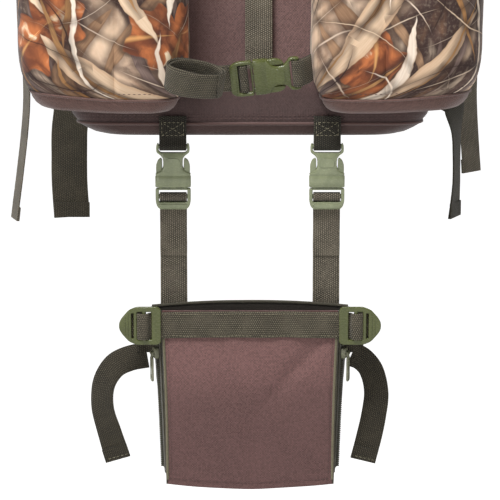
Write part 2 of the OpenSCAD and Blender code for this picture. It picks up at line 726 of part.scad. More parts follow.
belt_strap_left();
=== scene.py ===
"""The looks of a hunting backpack: its webbing, buckles and camouflaged cloth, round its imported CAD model."""
import json
import math

import bmesh
import bpy
from mathutils import Matrix, Vector, noise


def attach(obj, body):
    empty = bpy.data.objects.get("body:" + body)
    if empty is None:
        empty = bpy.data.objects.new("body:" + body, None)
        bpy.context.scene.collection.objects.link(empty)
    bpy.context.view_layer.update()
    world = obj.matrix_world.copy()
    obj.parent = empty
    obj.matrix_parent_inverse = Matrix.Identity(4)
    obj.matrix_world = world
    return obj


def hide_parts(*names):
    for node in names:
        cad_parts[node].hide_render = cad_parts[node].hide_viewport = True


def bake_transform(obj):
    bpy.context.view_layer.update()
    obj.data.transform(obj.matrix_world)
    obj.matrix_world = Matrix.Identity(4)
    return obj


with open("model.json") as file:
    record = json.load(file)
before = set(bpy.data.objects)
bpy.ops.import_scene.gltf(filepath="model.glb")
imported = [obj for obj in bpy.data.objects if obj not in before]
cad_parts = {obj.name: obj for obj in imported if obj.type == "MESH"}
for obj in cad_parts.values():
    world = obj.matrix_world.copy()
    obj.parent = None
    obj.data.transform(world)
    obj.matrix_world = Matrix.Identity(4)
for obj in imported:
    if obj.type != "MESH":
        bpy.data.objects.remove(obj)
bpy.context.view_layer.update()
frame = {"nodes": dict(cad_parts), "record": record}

MM = 0.001
UP = Vector((0, 0, 1))
RIGHT = Vector((1, 0, 0))
FORWARD = Vector((0, -1, 0))      # out of the pockets' fronts
BACKWARD = Vector((0, 1, 0))      # towards the wearer
JOINTS = {joint["name"]: joint for joint in frame["record"]["behaviour"]["joints"]}


# ---- Small helpers ----

def at(x, y, z):
    """A point given in millimetres."""
    return Vector((x, y, z)) * MM


def moved(x, y, z):
    """A move given in millimetres, as a matrix."""
    return Matrix.Translation(at(x, y, z))


def smoothstep(low, high, value):
    t = min(1.0, max(0.0, (value - low) / (high - low)))
    return t * t * (3 - 2 * t)


def curve_through(points, steps=6):
    """A smooth curve through the points, with a number of steps between neighbours."""
    result = []
    last = len(points) - 1
    for i in range(last):
        a, b = points[max(i - 1, 0)], points[i]
        c, d = points[i + 1], points[min(i + 2, last)]
        for k in range(steps):
            t = k / steps
            result.append(0.5 * (2 * b + (c - a) * t + (2 * a - 5 * b + 4 * c - d) * t * t
                                 + (3 * b - a - 3 * c + d) * t ** 3))
    result.append(points[last].copy())
    return result


def resample(points, count, closed=False):
    """The same line with its points evenly spaced."""
    line = list(points) + ([points[0]] if closed else [])
    lengths = [0.0]
    for a, b in zip(line, line[1:]):
        lengths.append(lengths[-1] + (b - a).length)
    pieces = count if closed else count - 1
    result = []
    segment = 0
    for k in range(count):
        want = lengths[-1] * k / pieces
        while segment < len(line) - 2 and lengths[segment + 1] < want:
            segment += 1
        span = lengths[segment + 1] - lengths[segment]
        share = (want - lengths[segment]) / span if span > 0 else 0.0
        result.append(line[segment].lerp(line[segment + 1], share))
    return result


def rounded(points, radius, steps=5):
    """A polygon of (x, y) points with each corner eased into a curve."""
    result = []
    for i, corner in enumerate(points):
        corner = Vector(corner)
        before, after = Vector(points[i - 1]), Vector(points[(i + 1) % len(points)])
        reach = min(radius, (before - corner).length * 0.48, (after - corner).length * 0.48)
        start = corner + (before - corner).normalized() * reach
        end = corner + (after - corner).normalized() * reach
        for k in range(steps + 1):
            t = k / steps
            result.append(start * (1 - t) ** 2 + corner * 2 * t * (1 - t) + end * t * t)
    return result


def rounded_ring(half_w, half_d, radius, z, count=120, middle=(0.0, 0.0)):
    """A rounded rectangle at height z, starting at the middle of its +Y side, in millimetres."""
    corners = []
    for quarter in range(4):
        sx, sy = ((1, 1), (1, -1), (-1, -1), (-1, 1))[quarter]
        start = math.pi / 2 - quarter * math.pi / 2
        for k in range(9):
            angle = start - k / 8 * math.pi / 2
            corners.append(at(middle[0] + sx * (half_w - radius) + radius * math.cos(angle),
                              middle[1] + sy * (half_d - radius) + radius * math.sin(angle), z))
    corners = [at(middle[0], middle[1] + half_d, z)] + corners
    return resample(corners, count, closed=True)


def wrinkle(point, size, seed=0.0):
    """Smooth noise from -1 to 1 at a point, for folds about size millimetres across."""
    p = point / (size * MM) + Vector((seed, seed * 1.7, -seed))
    return noise.noise(p) + 0.4 * noise.noise(p * 2.1)


# ---- Materials ----

def operation(name, swapped=False):
    """A method that adds a Math node. The method's own value goes first, unless swapped."""
    def method(self, *others):
        return self.recipe.math(name, *((*others, self) if swapped else (self, *others)))
    return method


class Value:
    """A node's output. Arithmetic on it adds Math nodes to its recipe's tree."""

    __add__, __sub__, __rsub__ = operation("ADD"), operation("SUBTRACT"), operation("SUBTRACT", swapped=True)
    __mul__, __truediv__, __pow__ = operation("MULTIPLY"), operation("DIVIDE"), operation("POWER")
    __mod__, __abs__, __lt__ = operation("FLOORED_MODULO"), operation("ABSOLUTE"), operation("LESS_THAN")
    floor, fract, root = operation("FLOOR"), operation("FRACT"), operation("SQRT")
    sine, cosine, angle = operation("SINE"), operation("COSINE"), operation("ARCTAN2")

    def __init__(self, recipe, socket):
        self.recipe, self.socket = recipe, socket

    def wave(self):
        """Half a sine wave over each whole step."""
        return (self.fract() * math.pi).sine()


class Recipe:
    """A material whose node tree is written as expressions."""

    def __init__(self, name, roughness=0.8, sheen=0.0, specular=0.3):
        self.material = bpy.data.materials.new(name)
        self.material.use_nodes = True
        self.nodes = self.material.node_tree.nodes
        self.links = self.material.node_tree.links
        self.shader = self.nodes["Principled BSDF"]
        for setting, value in (("Roughness", roughness), ("Specular IOR Level", specular),
                               ("Sheen Weight", sheen), ("Sheen Roughness", 0.4)):
            self.shader.inputs[setting].default_value = value

    @classmethod
    def of_tree(cls, tree):
        """The same helpers for a node tree that already exists, such as the world's."""
        recipe = cls.__new__(cls)
        recipe.nodes, recipe.links = tree.nodes, tree.links
        return recipe

    def feed(self, socket, value):
        if isinstance(value, Value):
            self.links.new(value.socket, socket)
        elif isinstance(value, tuple) and socket.type == "RGBA":
            socket.default_value = (*value, 1.0)
        else:
            socket.default_value = value

    def math(self, name, *values):
        node = self.nodes.new("ShaderNodeMath")
        node.operation = name
        for socket, value in zip(node.inputs, values):
            self.feed(socket, value)
        return Value(self, node.outputs[0])

    def mix(self, factor, a, b):
        node = self.nodes.new("ShaderNodeMix")
        node.data_type = "RGBA"
        for number, value in ((0, factor), (6, a), (7, b)):
            self.feed(node.inputs[number], value)
        return Value(self, node.outputs[2])

    def step(self, low, high, value):
        """0 up to low, 1 from high on, and a smooth rise between them."""
        node = self.nodes.new("ShaderNodeMapRange")
        node.interpolation_type = "SMOOTHSTEP"
        for number, given in enumerate((value, low, high)):
            self.feed(node.inputs[number], given)
        return Value(self, node.outputs[0])

    def split(self, vector):
        node = self.nodes.new("ShaderNodeSeparateXYZ")
        self.feed(node.inputs[0], vector)
        return [Value(self, socket) for socket in node.outputs]

    def join(self, x, y=0.0, z=0.0):
        node = self.nodes.new("ShaderNodeCombineXYZ")
        for socket, value in zip(node.inputs, (x, y, z)):
            self.feed(socket, value)
        return Value(self, node.outputs[0])

    def uv(self):
        return Value(self, self.nodes.new("ShaderNodeTexCoord").outputs["UV"])

    def place(self):
        return Value(self, self.nodes.new("ShaderNodeTexCoord").outputs["Object"])

    def scaled(self, vector, factor):
        node = self.nodes.new("ShaderNodeVectorMath")
        node.operation = "SCALE"
        self.feed(node.inputs[0], vector)
        node.inputs["Scale"].default_value = factor
        return Value(self, node.outputs[0])

    def noise(self, vector, scale, detail=3.0, stretch=(1, 1, 1), distortion=0.0):
        mapping = self.nodes.new("ShaderNodeMapping")
        self.feed(mapping.inputs[0], vector)
        mapping.inputs[3].default_value = stretch
        node = self.nodes.new("ShaderNodeTexNoise")
        self.links.new(mapping.outputs[0], node.inputs["Vector"])
        for setting, value in (("Scale", scale), ("Detail", detail), ("Distortion", distortion)):
            node.inputs[setting].default_value = value
        return Value(self, node.outputs["Fac"])

    def random(self, x, y=0.0, z=0.0):
        """Three random numbers that stay the same for the same whole x, y and z."""
        node = self.nodes.new("ShaderNodeTexWhiteNoise")
        node.noise_dimensions = "3D"
        self.feed(node.inputs["Vector"], self.join(x, y, z))
        return self.split(Value(self, node.outputs["Color"]))

    def finish(self, colour, height=None, bump=0.5, distance=0.3, roughness=None):
        """Joins the colour, the roughness and the bump's height to the shader. distance is in millimetres."""
        self.feed(self.shader.inputs["Base Color"], colour)
        if roughness is not None:
            self.feed(self.shader.inputs["Roughness"], roughness)
        if height is not None:
            node = self.nodes.new("ShaderNodeBump")
            node.inputs["Strength"].default_value = bump
            node.inputs["Distance"].default_value = distance * MM
            self.feed(node.inputs["Height"], height)
            self.links.new(node.outputs[0], self.shader.inputs["Normal"])
        return self.material


def linear(red, green, blue):
    """Scene-linear colour from the 0 to 255 values that a screen shows."""
    return tuple(((c / 255 + 0.055) / 1.055) ** 2.4 if c > 10 else c / 3295 for c in (red, green, blue))


def dimmed(colour, share):
    return tuple(c * share for c in colour)


WEB_COLUMN, WEB_ROW = 1.8, 1.75     # millimetres between columns of webbing, and between a column's floats


def webbing_material(name, base):
    """Webbing: columns of raised floats, each half a step on from its neighbour, in mottled yarn, with painted
    shade between the floats and a painted highlight on their crowns.
    """
    m = Recipe(name, roughness=0.8, sheen=0.1)
    u, v, _ = m.split(m.uv())
    across = u / (WEB_COLUMN * MM)
    column = across.floor()
    along = column * 0.5 + v / (WEB_ROW * MM)
    crown = across.wave() * along.wave()
    chance = m.random(column, along.floor())
    fibres = m.noise(m.uv(), 2600.0, 2.0)
    worn = m.noise(m.uv(), 42.0, 3.0)
    # painted shade: the hollows between the floats are darkened
    tone = m.mix(m.step(0.12, 0.75, crown), dimmed(base, 0.16), dimmed(base, 1.45))
    # painted highlight: the floats' crowns are brightened as if catching the light
    painted_highlight = m.step(0.45, 0.95, crown) * (chance[0] * 0.6 + 0.1)
    tone = m.mix(painted_highlight, tone, dimmed(base, 3.0))
    tone = m.mix(chance[1] * 0.3, tone, dimmed(base, 0.6))
    tone = m.mix(m.step(0.35, 0.75, worn) * 0.35, tone, dimmed(base, 1.7))
    return m.finish(tone, crown + fibres * 0.3, bump=1.0, distance=0.5)


def oxford_material(name, warp, weft, pitch=1.2, mapped=True, foot_shade=None):
    """Plain-woven polyester in two close tones, with a soft lustre and slightly uneven dye.

    pitch is the width of one thread in millimetres. Cloth without a map is woven by its place in the object.
    The last argument is (lit height, shaded height, share of light kept), for painted shade that darkens the
    cloth towards its foot.
    """
    m = Recipe(name, roughness=0.7, sheen=0.25, specular=0.35)
    if mapped:
        cloth = m.uv()
    else:
        x, y, z = m.split(m.place())
        cloth = m.join(x, z - y)
    u, v, _ = m.split(cloth)
    across, along = u / (pitch * MM), v / (pitch * MM)
    odd = (across.floor() + along.floor()) % 2.0
    over, under = across.wave(), along.wave()
    crown = odd * (over - under) + under
    chance = m.random(across.floor(), along.floor())
    tone = m.mix(odd, warp, weft)
    # painted shade: the hollows between the threads are darkened
    tone = m.mix(m.step(0.6, 0.0, crown), tone, dimmed(warp, 0.3))
    tone = m.mix(chance[0] * 0.4, tone, dimmed(weft, 1.75))
    cloudy = m.noise(cloth, 16.0, 4.0, distortion=0.6)
    tone = m.mix(m.step(0.35, 0.7, cloudy) * 0.25, tone, dimmed(weft, 1.35))
    # painted shade: below a ragged height the cloth darkens towards its foot
    if foot_shade:
        lit_height, shaded_height, kept = foot_shade
        ragged_height = m.noise(cloth, 30.0, 3.0) * 0.012 + m.split(m.place())[2]
        tone = m.mix(m.step(lit_height * MM, shaded_height * MM, ragged_height), tone, m.mix(kept, linear(0, 0, 0), tone))
    rough = m.noise(cloth, 220.0) * 0.25 + 0.6
    return m.finish(tone, crown, bump=0.55, distance=0.18, roughness=rough)


def moulded_material(name, base, roughness=0.42, grain=0.12):
    """Moulded or painted hardware with a fine grain, faint flow marks and a little scuffing."""
    m = Recipe(name, roughness=roughness, specular=0.5)
    grain_height = m.noise(m.place(), 1500.0, 3.0)
    flow = m.noise(m.place(), 60.0, 3.0, stretch=(1, 1, 0.35), distortion=1.2)
    scuffs = m.noise(m.place(), 420.0, 5.0, stretch=(1, 1, 4))
    tone = m.mix(m.step(0.3, 0.75, flow), dimmed(base, 0.88), dimmed(base, 1.12))
    tone = m.mix(m.step(0.63, 0.72, scuffs) * 0.3, tone, dimmed(base, 1.7))
    rough = m.step(0.4, 0.8, scuffs) * 0.2 + (roughness - 0.06)
    return m.finish(tone, grain_height, bump=grain, distance=0.12, roughness=rough)


def mesh_material(name, base, hole=2.6):
    """Air mesh: rows of small round holes in a knitted face, hole millimetres from one to the next."""
    m = Recipe(name, roughness=0.9, sheen=0.2)
    x, _, z = m.split(m.place())
    rows = z / (hole * 0.87 * MM)
    shifted = rows.floor() % 2.0 * 0.5 + x / (hole * MM)
    dx, dz = shifted.fract() - 0.5, rows.fract() - 0.5
    knitted = m.step(0.26, 0.36, (dx * dx + dz * dz).root())
    knit = m.noise(m.place(), 2200.0, 2.0)
    # painted shade: the holes are darkened as if shaded inside
    tone = m.mix(knitted, dimmed(base, 0.2), m.mix(knit, dimmed(base, 0.8), dimmed(base, 1.5)))
    return m.finish(tone, knitted + knit * 0.2, bump=0.8, distance=0.6)


def thread_material(name, base):
    m = Recipe(name, roughness=0.6, sheen=0.3)
    twist = m.noise(m.place(), 1800.0, 2.0)
    return m.finish(m.mix(twist, dimmed(base, 0.7), dimmed(base, 1.3)), twist, bump=0.4, distance=0.1)


# ---- Camouflage ----

PRINT_SCALE = 0.8     # the print's own lengths over lengths on the cloth
YARN = 0.4            # width in millimetres of one yarn of the printed cloth


class Camouflage:
    """A printed cloth of dry reeds and leaves: layers of random blades over a mottled ground."""

    def __init__(self, name):
        self.m = Recipe(name, roughness=0.78, sheen=0.12, specular=0.25)
        self.uv = self.m.scaled(self.m.uv(), PRINT_SCALE)
        self.tone = self.ground()

    def ground(self):
        """Shaded litter: broad pale and dark patches, smudged grey-brown mottling and fine scratches."""
        m = self.m
        broad = m.noise(self.uv, 8.5, 3.0, distortion=1.2)
        patch = m.noise(self.uv, 26.0, 5.0, distortion=0.9)
        streaks = m.noise(self.uv, 30.0, 5.0, stretch=(2.6, 0.5, 1), distortion=0.6)
        fine = m.noise(self.uv, 420.0, 4.0)
        tone = m.mix(m.step(0.46, 0.56, broad), linear(64, 47, 43), linear(214, 184, 156))
        tone = m.mix(m.step(0.44, 0.66, patch) * 0.6, tone, linear(120, 94, 84))
        tone = m.mix(m.step(0.54, 0.74, patch) * 0.8, tone, linear(44, 31, 29))
        tone = m.mix(m.step(0.52, 0.7, streaks) * 0.4, tone, linear(134, 98, 70))
        tone = m.mix(m.step(0.46, 0.30, streaks) * 0.5, tone, linear(230, 206, 180))
        return m.mix(m.step(0.45, 0.8, fine) * 0.35, tone, m.mix(0.5, tone, linear(220, 200, 176)))

    def turned(self, degrees):
        u, v, _ = self.m.split(self.uv)
        c, s = math.cos(math.radians(degrees)), math.sin(math.radians(degrees))
        return u * c + v * s, v * c - u * s

    def blades(self, turn, spacing, length, width, share, light, dark, seed, bend=0.2):
        """Long tapered blades in columns spacing millimetres apart, about length millimetres long.

        width is a blade's share of its column, and share is how many of the places hold a blade.
        """
        m = self.m
        x, y = self.turned(turn)
        columns = x / (spacing * MM)
        column = columns.floor()
        along = y / (length * MM) + m.random(column, seed)[0] * 7.0
        which, f = along.floor(), along.fract() - 0.5
        chance = m.random(column, which, seed + 0.5)
        again = m.random(column, which, seed + 9.5)
        sway = (chance[1] - 0.5) * (f * 1.3)
        bow = (again[1] - 0.5) * (f * f * (bend * 8))
        waver = m.noise(self.uv, 60.0, 2.0) * 0.12 - 0.06
        gap = abs(columns.fract() - 0.5 - (sway * 0.45 + bow + waver))
        taper = 1.0 - abs(f * 2.0) ** 2.5
        half = taper * (chance[2] * (width * 0.7) + width * 0.3)
        depth = half - gap
        here = chance[0] < share
        shadow = m.step(-5.0 / spacing, 0.5 / spacing, depth) * here
        self.tone = m.mix(shadow * 0.5, self.tone, linear(50, 34, 30))
        veins = m.noise(m.join(x * 14.0, y), 60.0, 3.0)
        edge = m.step(0.45, 0.0, depth / (half + 0.001))
        body = m.mix(veins * 0.6 + again[2] * 0.4, light, dark)
        body = m.mix(edge * 0.55, body, dark)
        self.tone = m.mix(m.step(0.0, 0.9 / spacing, depth) * here, self.tone, body)

    def leaves(self, size, share, seed):
        """Lobed rust-coloured leaves, each in its own square of the cloth, size millimetres wide."""
        m = self.m
        u, v, _ = m.split(self.uv)
        across, along = u / (size * MM), v / (size * MM)
        i, j = across.floor(), along.floor()
        chance, again = m.random(i, j, seed), m.random(i, j, seed + 3.5)
        dx = across.fract() - (chance[1] * 0.2 + 0.4)
        dy = along.fract() - (chance[2] * 0.2 + 0.4)
        angle = dy.angle(dx) + again[0] * 6.28
        lobes = (angle * 9.0).sine() * 0.035 + 0.14
        ragged = m.noise(self.uv, 90.0, 2.0) * 0.08 - 0.04
        depth = abs(angle.cosine()) * 0.24 + lobes + ragged - (dx * dx + dy * dy).root()
        here = chance[0] < share
        rib = m.step(0.10, 0.0, abs(angle.sine()))
        patchy = m.noise(self.uv, 55.0, 4.0, distortion=1.0)
        body = m.mix(m.step(0.35, 0.65, patchy), linear(112, 62, 40), linear(190, 112, 66))
        body = m.mix(m.step(0.62, 0.74, patchy), body, linear(250, 226, 190))
        body = m.mix(rib * 0.6, body, linear(236, 178, 112))
        shadow = m.step(-0.05, 0.0, depth) * here
        self.tone = m.mix(shadow * 0.6, self.tone, linear(48, 32, 28))
        self.tone = m.mix(m.step(0.0, 0.02, depth) * here, self.tone, body)

    def cloth(self):
        u, v, _ = self.m.split(self.uv)
        yarns = math.pi / (YARN * MM)
        return self.m.finish(self.tone, (u * yarns).sine() * (v * yarns).sine(), bump=0.25, distance=0.1)


def camouflage_material():
    c = Camouflage("reed_camouflage")
    cream, straw = linear(238, 216, 188), linear(182, 146, 114)
    gold, brown = linear(192, 142, 90), linear(78, 48, 32)
    grey, dark_grey = linear(154, 132, 122), linear(70, 52, 49)
    white, bark = linear(253, 244, 230), linear(46, 31, 28)
    c.blades(12, 17, 110, 0.42, 0.50, grey, dark_grey, 1.0)
    c.blades(-38, 24, 130, 0.38, 0.45, straw, brown, 2.0)
    c.leaves(96, 0.22, 5.0)
    c.blades(62, 15, 80, 0.07, 0.60, grey, cream, 3.0, bend=0.6)
    c.blades(40, 58, 170, 0.30, 0.48, cream, straw, 4.0, bend=0.12)
    c.blades(-14, 40, 150, 0.15, 0.50, gold, brown, 6.0)
    c.blades(33, 33, 120, 0.10, 0.42, gold, bark, 6.6)
    c.blades(-3, 64, 190, 0.11, 0.50, white, straw, 7.0, bend=0.1)
    c.blades(-52, 24, 70, 0.05, 0.50, white, straw, 8.0, bend=0.7)
    c.blades(-66, 30, 90, 0.04, 0.40, cream, straw, 8.4, bend=0.6)
    c.blades(24, 22, 60, 0.05, 0.45, bark, bark, 9.0, bend=0.7)
    c.blades(74, 30, 80, 0.035, 0.45, bark, bark, 9.6, bend=0.7)
    return c.cloth()


WEB = webbing_material("olive_webbing", linear(102, 95, 82))
STRAP_WEB = webbing_material("handled_webbing", linear(84, 78, 65))
# a darker copy of the webbing: painted shade for the hanging tails
SHADED_WEB = webbing_material("shaded_webbing", linear(56, 51, 40))
# a near-black copy of the webbing: painted shadow for the hanger straps under the bag
SHADOWED_WEB = webbing_material("shadowed_webbing", linear(44, 41, 33))
# painted shade: the boot pouch's cloth darkens towards its hem
BROWN = oxford_material("brown_oxford", linear(96, 68, 65), linear(113, 82, 79), foot_shade=(-290, -335, 0.72))
# painted shade: the bag's cloth darkens towards its foot, beneath the pockets
DEEP_BROWN = oxford_material("deep_brown_oxford", linear(92, 69, 66), linear(110, 85, 82),
                             foot_shade=(-10, -50, 0.40))
FOOT_BROWN = oxford_material("foot_brown_oxford", linear(82, 60, 55), linear(98, 73, 67))
# a darker copy of the brown cloth: painted shade for the base under the bag
SHADED_BASE_BROWN = oxford_material("shaded_base_oxford", linear(54, 36, 33), linear(67, 48, 44))
# a dark lining, darkened further as painted shade inside the bag, pockets and pouch
LINING = oxford_material("coated_lining", linear(44, 40, 35), linear(54, 49, 43), pitch=0.5)
GUSSET = oxford_material("gusset_cloth", linear(58, 54, 44), linear(70, 66, 54), pitch=0.6)
PIPING = oxford_material("piping_cloth", linear(92, 87, 68), linear(108, 102, 80), pitch=0.6)
CAMO = camouflage_material()
OLIVE = moulded_material("olive_acetal", linear(80, 85, 46), roughness=0.28)
# a lighter copy of the olive plastic: painted light for the highlight on the boot's buckles
LIT_OLIVE = moulded_material("lit_olive_acetal", linear(132, 138, 108), roughness=0.24)
PAINTED = moulded_material("painted_zinc", linear(112, 112, 90), roughness=0.3, grain=0.05)
AIR_MESH = mesh_material("air_mesh", linear(92, 88, 78))
SHEET = moulded_material("polyethylene_sheet", linear(150, 150, 146), roughness=0.5)
THREAD = thread_material("olive_thread", linear(128, 122, 100))
BROWN_THREAD = thread_material("brown_thread", linear(84, 62, 58))
COIL = moulded_material("nylon_coil", linear(64, 62, 48), roughness=0.35)


# ---- Building meshes ----

STITCH_LENGTH, THREAD_RADIUS = 2.5, 0.28
SHARP_EDGE = 50.0     # degrees between two faces above which the edge between them is shaded sharp


class Piece:
    """Gathers sheets, tubes and mouldings into one mesh that rides on a body."""

    def __init__(self, name, body, nodes=(), materials=(WEB,), place=None, slot=None, bend=None):
        self.name, self.body, self.nodes, self.materials, self.slot = name, body, nodes, materials, slot
        self.bend = bend
        self.shift = (0.0, 0.0)
        self.place = place or Matrix()
        self.bm = bmesh.new()
        self.uv = self.bm.loops.layers.uv.new("UVMap")

    def face(self, verts, coords, material):
        face = self.bm.faces.new(verts)
        face.material_index = material
        face.smooth = True
        for loop, coord in zip(face.loops, coords):
            loop[self.uv].uv = (coord[0] + self.shift[0], coord[1] + self.shift[1])
        return face

    def grid(self, rows, material=0, loop=False, uvs=None):
        """Quads between rows of points, with a map in metres."""
        uvs = uvs or flat_map(rows, loop)
        verts = [[self.bm.verts.new(self.place @ p) for p in row] for row in rows]
        count = len(rows[0])
        for i in range(len(rows) - 1):
            for j in range(count if loop else count - 1):
                k = (j + 1) % count
                self.face((verts[i][j], verts[i][k], verts[i + 1][k], verts[i + 1][j]),
                          (uvs[i][j], uvs[i][j + 1], uvs[i + 1][j + 1], uvs[i + 1][j]), material)
        return verts

    def close(self, rings, material=0):
        """Closes both ends of a tube with flat faces."""
        for ring in (rings[0][::-1], rings[-1]):
            self.face(ring, [(v.co.x, v.co.y + v.co.z) for v in ring], material)

    def ribbon(self, stations, width, thick=1.5, steps=7):
        """Webbing swept through stations, each a centre and the direction across the strap there."""
        centres = curve_through([s[0] for s in stations], steps)
        sides = curve_through([Vector(s[1]) for s in stations], steps)
        profile = ((-1, 0.4), (-0.95, 1), (-0.6, 1), (-0.2, 1), (0.2, 1), (0.6, 1), (0.95, 1), (1, 0.4))
        rows, uvs = [], []
        travelled = 0.0
        last = len(centres) - 1
        for i, centre in enumerate(centres):
            ahead = (centres[min(i + 1, last)] - centres[max(i - 1, 0)]).normalized()
            side = (sides[i] - sides[i].dot(ahead) * ahead).normalized()
            face = side.cross(ahead)
            travelled += (centre - centres[i - 1]).length if i else 0.0
            breadth = width * (1 + 0.008 * wrinkle(centre, 14, 3.0)) * MM / 2
            lift = face * 0.12 * MM * wrinkle(centre, 9, 5.0)
            front = [centre + lift + side * a * breadth + face * b * thick * MM / 2 for a, b in profile]
            back = [centre + lift + side * a * breadth - face * b * thick * MM / 2 for a, b in profile]
            rows.append(front + back[::-1])
            us = [a * width * MM / 2 for a, b in profile]
            uvs.append([(u, travelled) for u in us + us[::-1] + us[:1]])
        self.close(self.grid(rows, loop=True, uvs=uvs))

    def tube(self, points, radius, material=0, sides=10, closed=False):
        """A round cord or bar along a line of points."""
        rows = []
        last = len(points) - 1
        normal = None
        for i, point in enumerate(points):
            before = points[i - 1] if closed or i else point
            after = points[(i + 1) % len(points)] if closed or i < last else point
            ahead = (after - before).normalized()
            if normal is None:
                normal = ahead.orthogonal().normalized()
            normal = (normal - normal.dot(ahead) * ahead).normalized()
            other = ahead.cross(normal)
            rows.append([point + (normal * math.cos(a) + other * math.sin(a)) * radius * MM
                         for a in (2 * math.pi * k / sides for k in range(sides))])
        if closed:
            rows.append(rows[0])
        verts = self.grid(rows, material, loop=True)
        if not closed:
            self.close(verts, material)

    def loft(self, rings):
        """A closed skin over rings of equal counts, in millimetres."""
        self.close(self.grid([[p * MM for p in ring] for ring in rings], loop=True))

    def plate(self, outline, holes, thick, bevel, place):
        """A flat moulding with rounded edges. Its outline lies in x and z, and its thickness along y."""
        curve = bpy.data.curves.new("outline", "CURVE")
        curve.dimensions = "2D"
        curve.fill_mode = "BOTH"
        curve.extrude = thick / 2 - bevel
        curve.bevel_depth = bevel
        curve.bevel_resolution = 3
        curve.offset = -bevel
        for ring in (outline, *holes):
            spline = curve.splines.new("POLY")
            spline.points.add(len(ring) - 1)
            spline.use_cyclic_u = True
            for point, (x, y) in zip(spline.points, ring):
                point.co = (x, y, 0, 1)
        holder = bpy.data.objects.new("outline", curve)
        mesh = bpy.data.meshes.new_from_object(holder)
        stand = Matrix(((1, 0, 0, 0), (0, 0, -1, 0), (0, 1, 0, 0), (0, 0, 0, 1)))
        mesh.transform(self.place @ place @ Matrix.Scale(MM, 4) @ stand)
        before = len(self.bm.faces)
        self.bm.from_mesh(mesh)
        self.bm.faces.ensure_lookup_table()
        for face in self.bm.faces[before:]:
            face.smooth = True
        bpy.data.objects.remove(holder)
        bpy.data.curves.remove(curve)
        bpy.data.meshes.remove(mesh)

    def panel(self, rows, thick, material=0, inside=0, loop=False, uvs=None):
        """Cloth with a real thickness: its outer side is left of the columns' way as the rows go on."""
        n, m = len(rows), len(rows[0])
        back = []
        for i, row in enumerate(rows):
            line = []
            for j, point in enumerate(row):
                on = rows[min(i + 1, n - 1)][j] - rows[max(i - 1, 0)][j]
                before, after = (j - 1, (j + 1) % m) if loop else (max(j - 1, 0), min(j + 1, m - 1))
                across = row[after] - row[before]
                line.append(point - on.cross(across).normalized() * thick * MM)
            back.append(line)
        front, rear = self.grid(rows, material, loop, uvs), self.grid(back, inside, loop)
        rims = [(front[0], rear[0]), (front[-1], rear[-1])]
        if not loop:
            rims += [([row[k] for row in front], [row[k] for row in rear]) for k in (0, -1)]
        for a, b in rims:
            count = len(a) if loop else len(a) - 1
            for j in range(count):
                k = (j + 1) % len(a)
                self.face((a[j], a[k], b[k], b[j]), [(0, 0), (MM, 0), (MM, MM), (0, MM)], material)

    def stitches(self, points, out, material=0, pitch=3.4):
        """A run of thread: short beads, pitch millimetres apart, that dip into the cloth between them."""
        total = sum((b - a).length for a, b in zip(points, points[1:]))
        count = max(1, int(total / (pitch * MM)))
        line = resample(points, 2 * count + 1)
        for k in range(count):
            a, b = line[2 * k], line[2 * k + 1]
            middle = (a + b) / 2 + out * THREAD_RADIUS * 0.5 * MM
            ahead = (b - a).normalized()
            across = ahead.cross(out).normalized()
            rows = []
            for share, size in ((-0.5, 0.35), (-0.3, 0.9), (0.0, 1.0), (0.3, 0.9), (0.5, 0.35)):
                spot = middle + ahead * share * STITCH_LENGTH * MM - out * abs(share) * 0.5 * MM
                rows.append([spot + (across * math.cos(t) + out * math.sin(t)) * THREAD_RADIUS * size * MM
                             for t in (2 * math.pi * n / 6 for n in range(6))])
            self.close(self.grid(rows, material, loop=True), material)

    def done(self):
        """Makes the Blender object. It rides on its body, unless it is given a bend: then it is left
        unattached.
        """
        bmesh.ops.recalc_face_normals(self.bm, faces=self.bm.faces)
        mesh = bpy.data.meshes.new(self.name)
        self.bm.to_mesh(mesh)
        self.bm.free()
        mesh.set_sharp_from_angle(angle=math.radians(SHARP_EDGE))
        for material in self.materials:
            mesh.materials.append(material)
        piece = bpy.data.objects.new(self.name + "_look", mesh)
        bpy.context.scene.collection.objects.link(piece)
        if not self.bend:
            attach(piece, self.body)
        if self.nodes:
            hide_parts(*self.nodes)
        return piece


def unfolded_map(rows, middle, top):
    """Map coordinates of a lid laid flat: its sides are folded up level with its top."""
    result = []
    for row in rows:
        line = []
        for p in row + row[:1]:
            out = Vector((p.x - middle[0] * MM, p.y - middle[1] * MM, 0)).normalized() * (top * MM - p.z)
            line.append((p.x + out.x, p.y + out.y))
        result.append(line)
    return result


def flat_map(rows, loop):
    """Map coordinates in metres from the distances along and across a grid of points."""
    result = []
    count = len(rows[0])
    heights = [0.0] * (count + 1)
    for i, row in enumerate(rows):
        run, line = 0.0, []
        for j in range(count + 1 if loop else count):
            point = row[j % count]
            if j:
                run += (point - row[j - 1]).length
            if i:
                heights[j] += (point - rows[i - 1][j % count]).length
            line.append((run, heights[j]))
        result.append(line)
    return result


# ---- Frames of reference ----

def axes(origin, x, y, z):
    """A frame with the given axes, its origin in millimetres."""
    m = Matrix((x, y, z)).transposed().to_4x4()
    m.translation = origin * MM
    return m


def turn(degrees, axis):
    return Matrix.Rotation(math.radians(degrees), 4, axis)


MIRROR = Matrix.Scale(-1, 4, RIGHT)
PIVOT = Vector(JOINTS["boot_swing"]["pos_m"])
down_line = JOINTS["boot_release"]["axis"]
HANG = (Matrix.Translation(PIVOT) @ Matrix.Rotation(math.atan2(down_line[1], -down_line[2]), 4, "X")
        @ Matrix.Translation(-PIVOT))
SIDES = (("left", -1), ("right", 1))


def sided(sx):
    """Leaves a right-hand piece as it is, or mirrors it to the left."""
    return Matrix() if sx > 0 else MIRROR


# ---- Hardware ----

WEBBING, BELT_WEBBING = 25.0, 38.0      # widths in millimetres
BAR = 2.2                               # radius of a buckle's bar


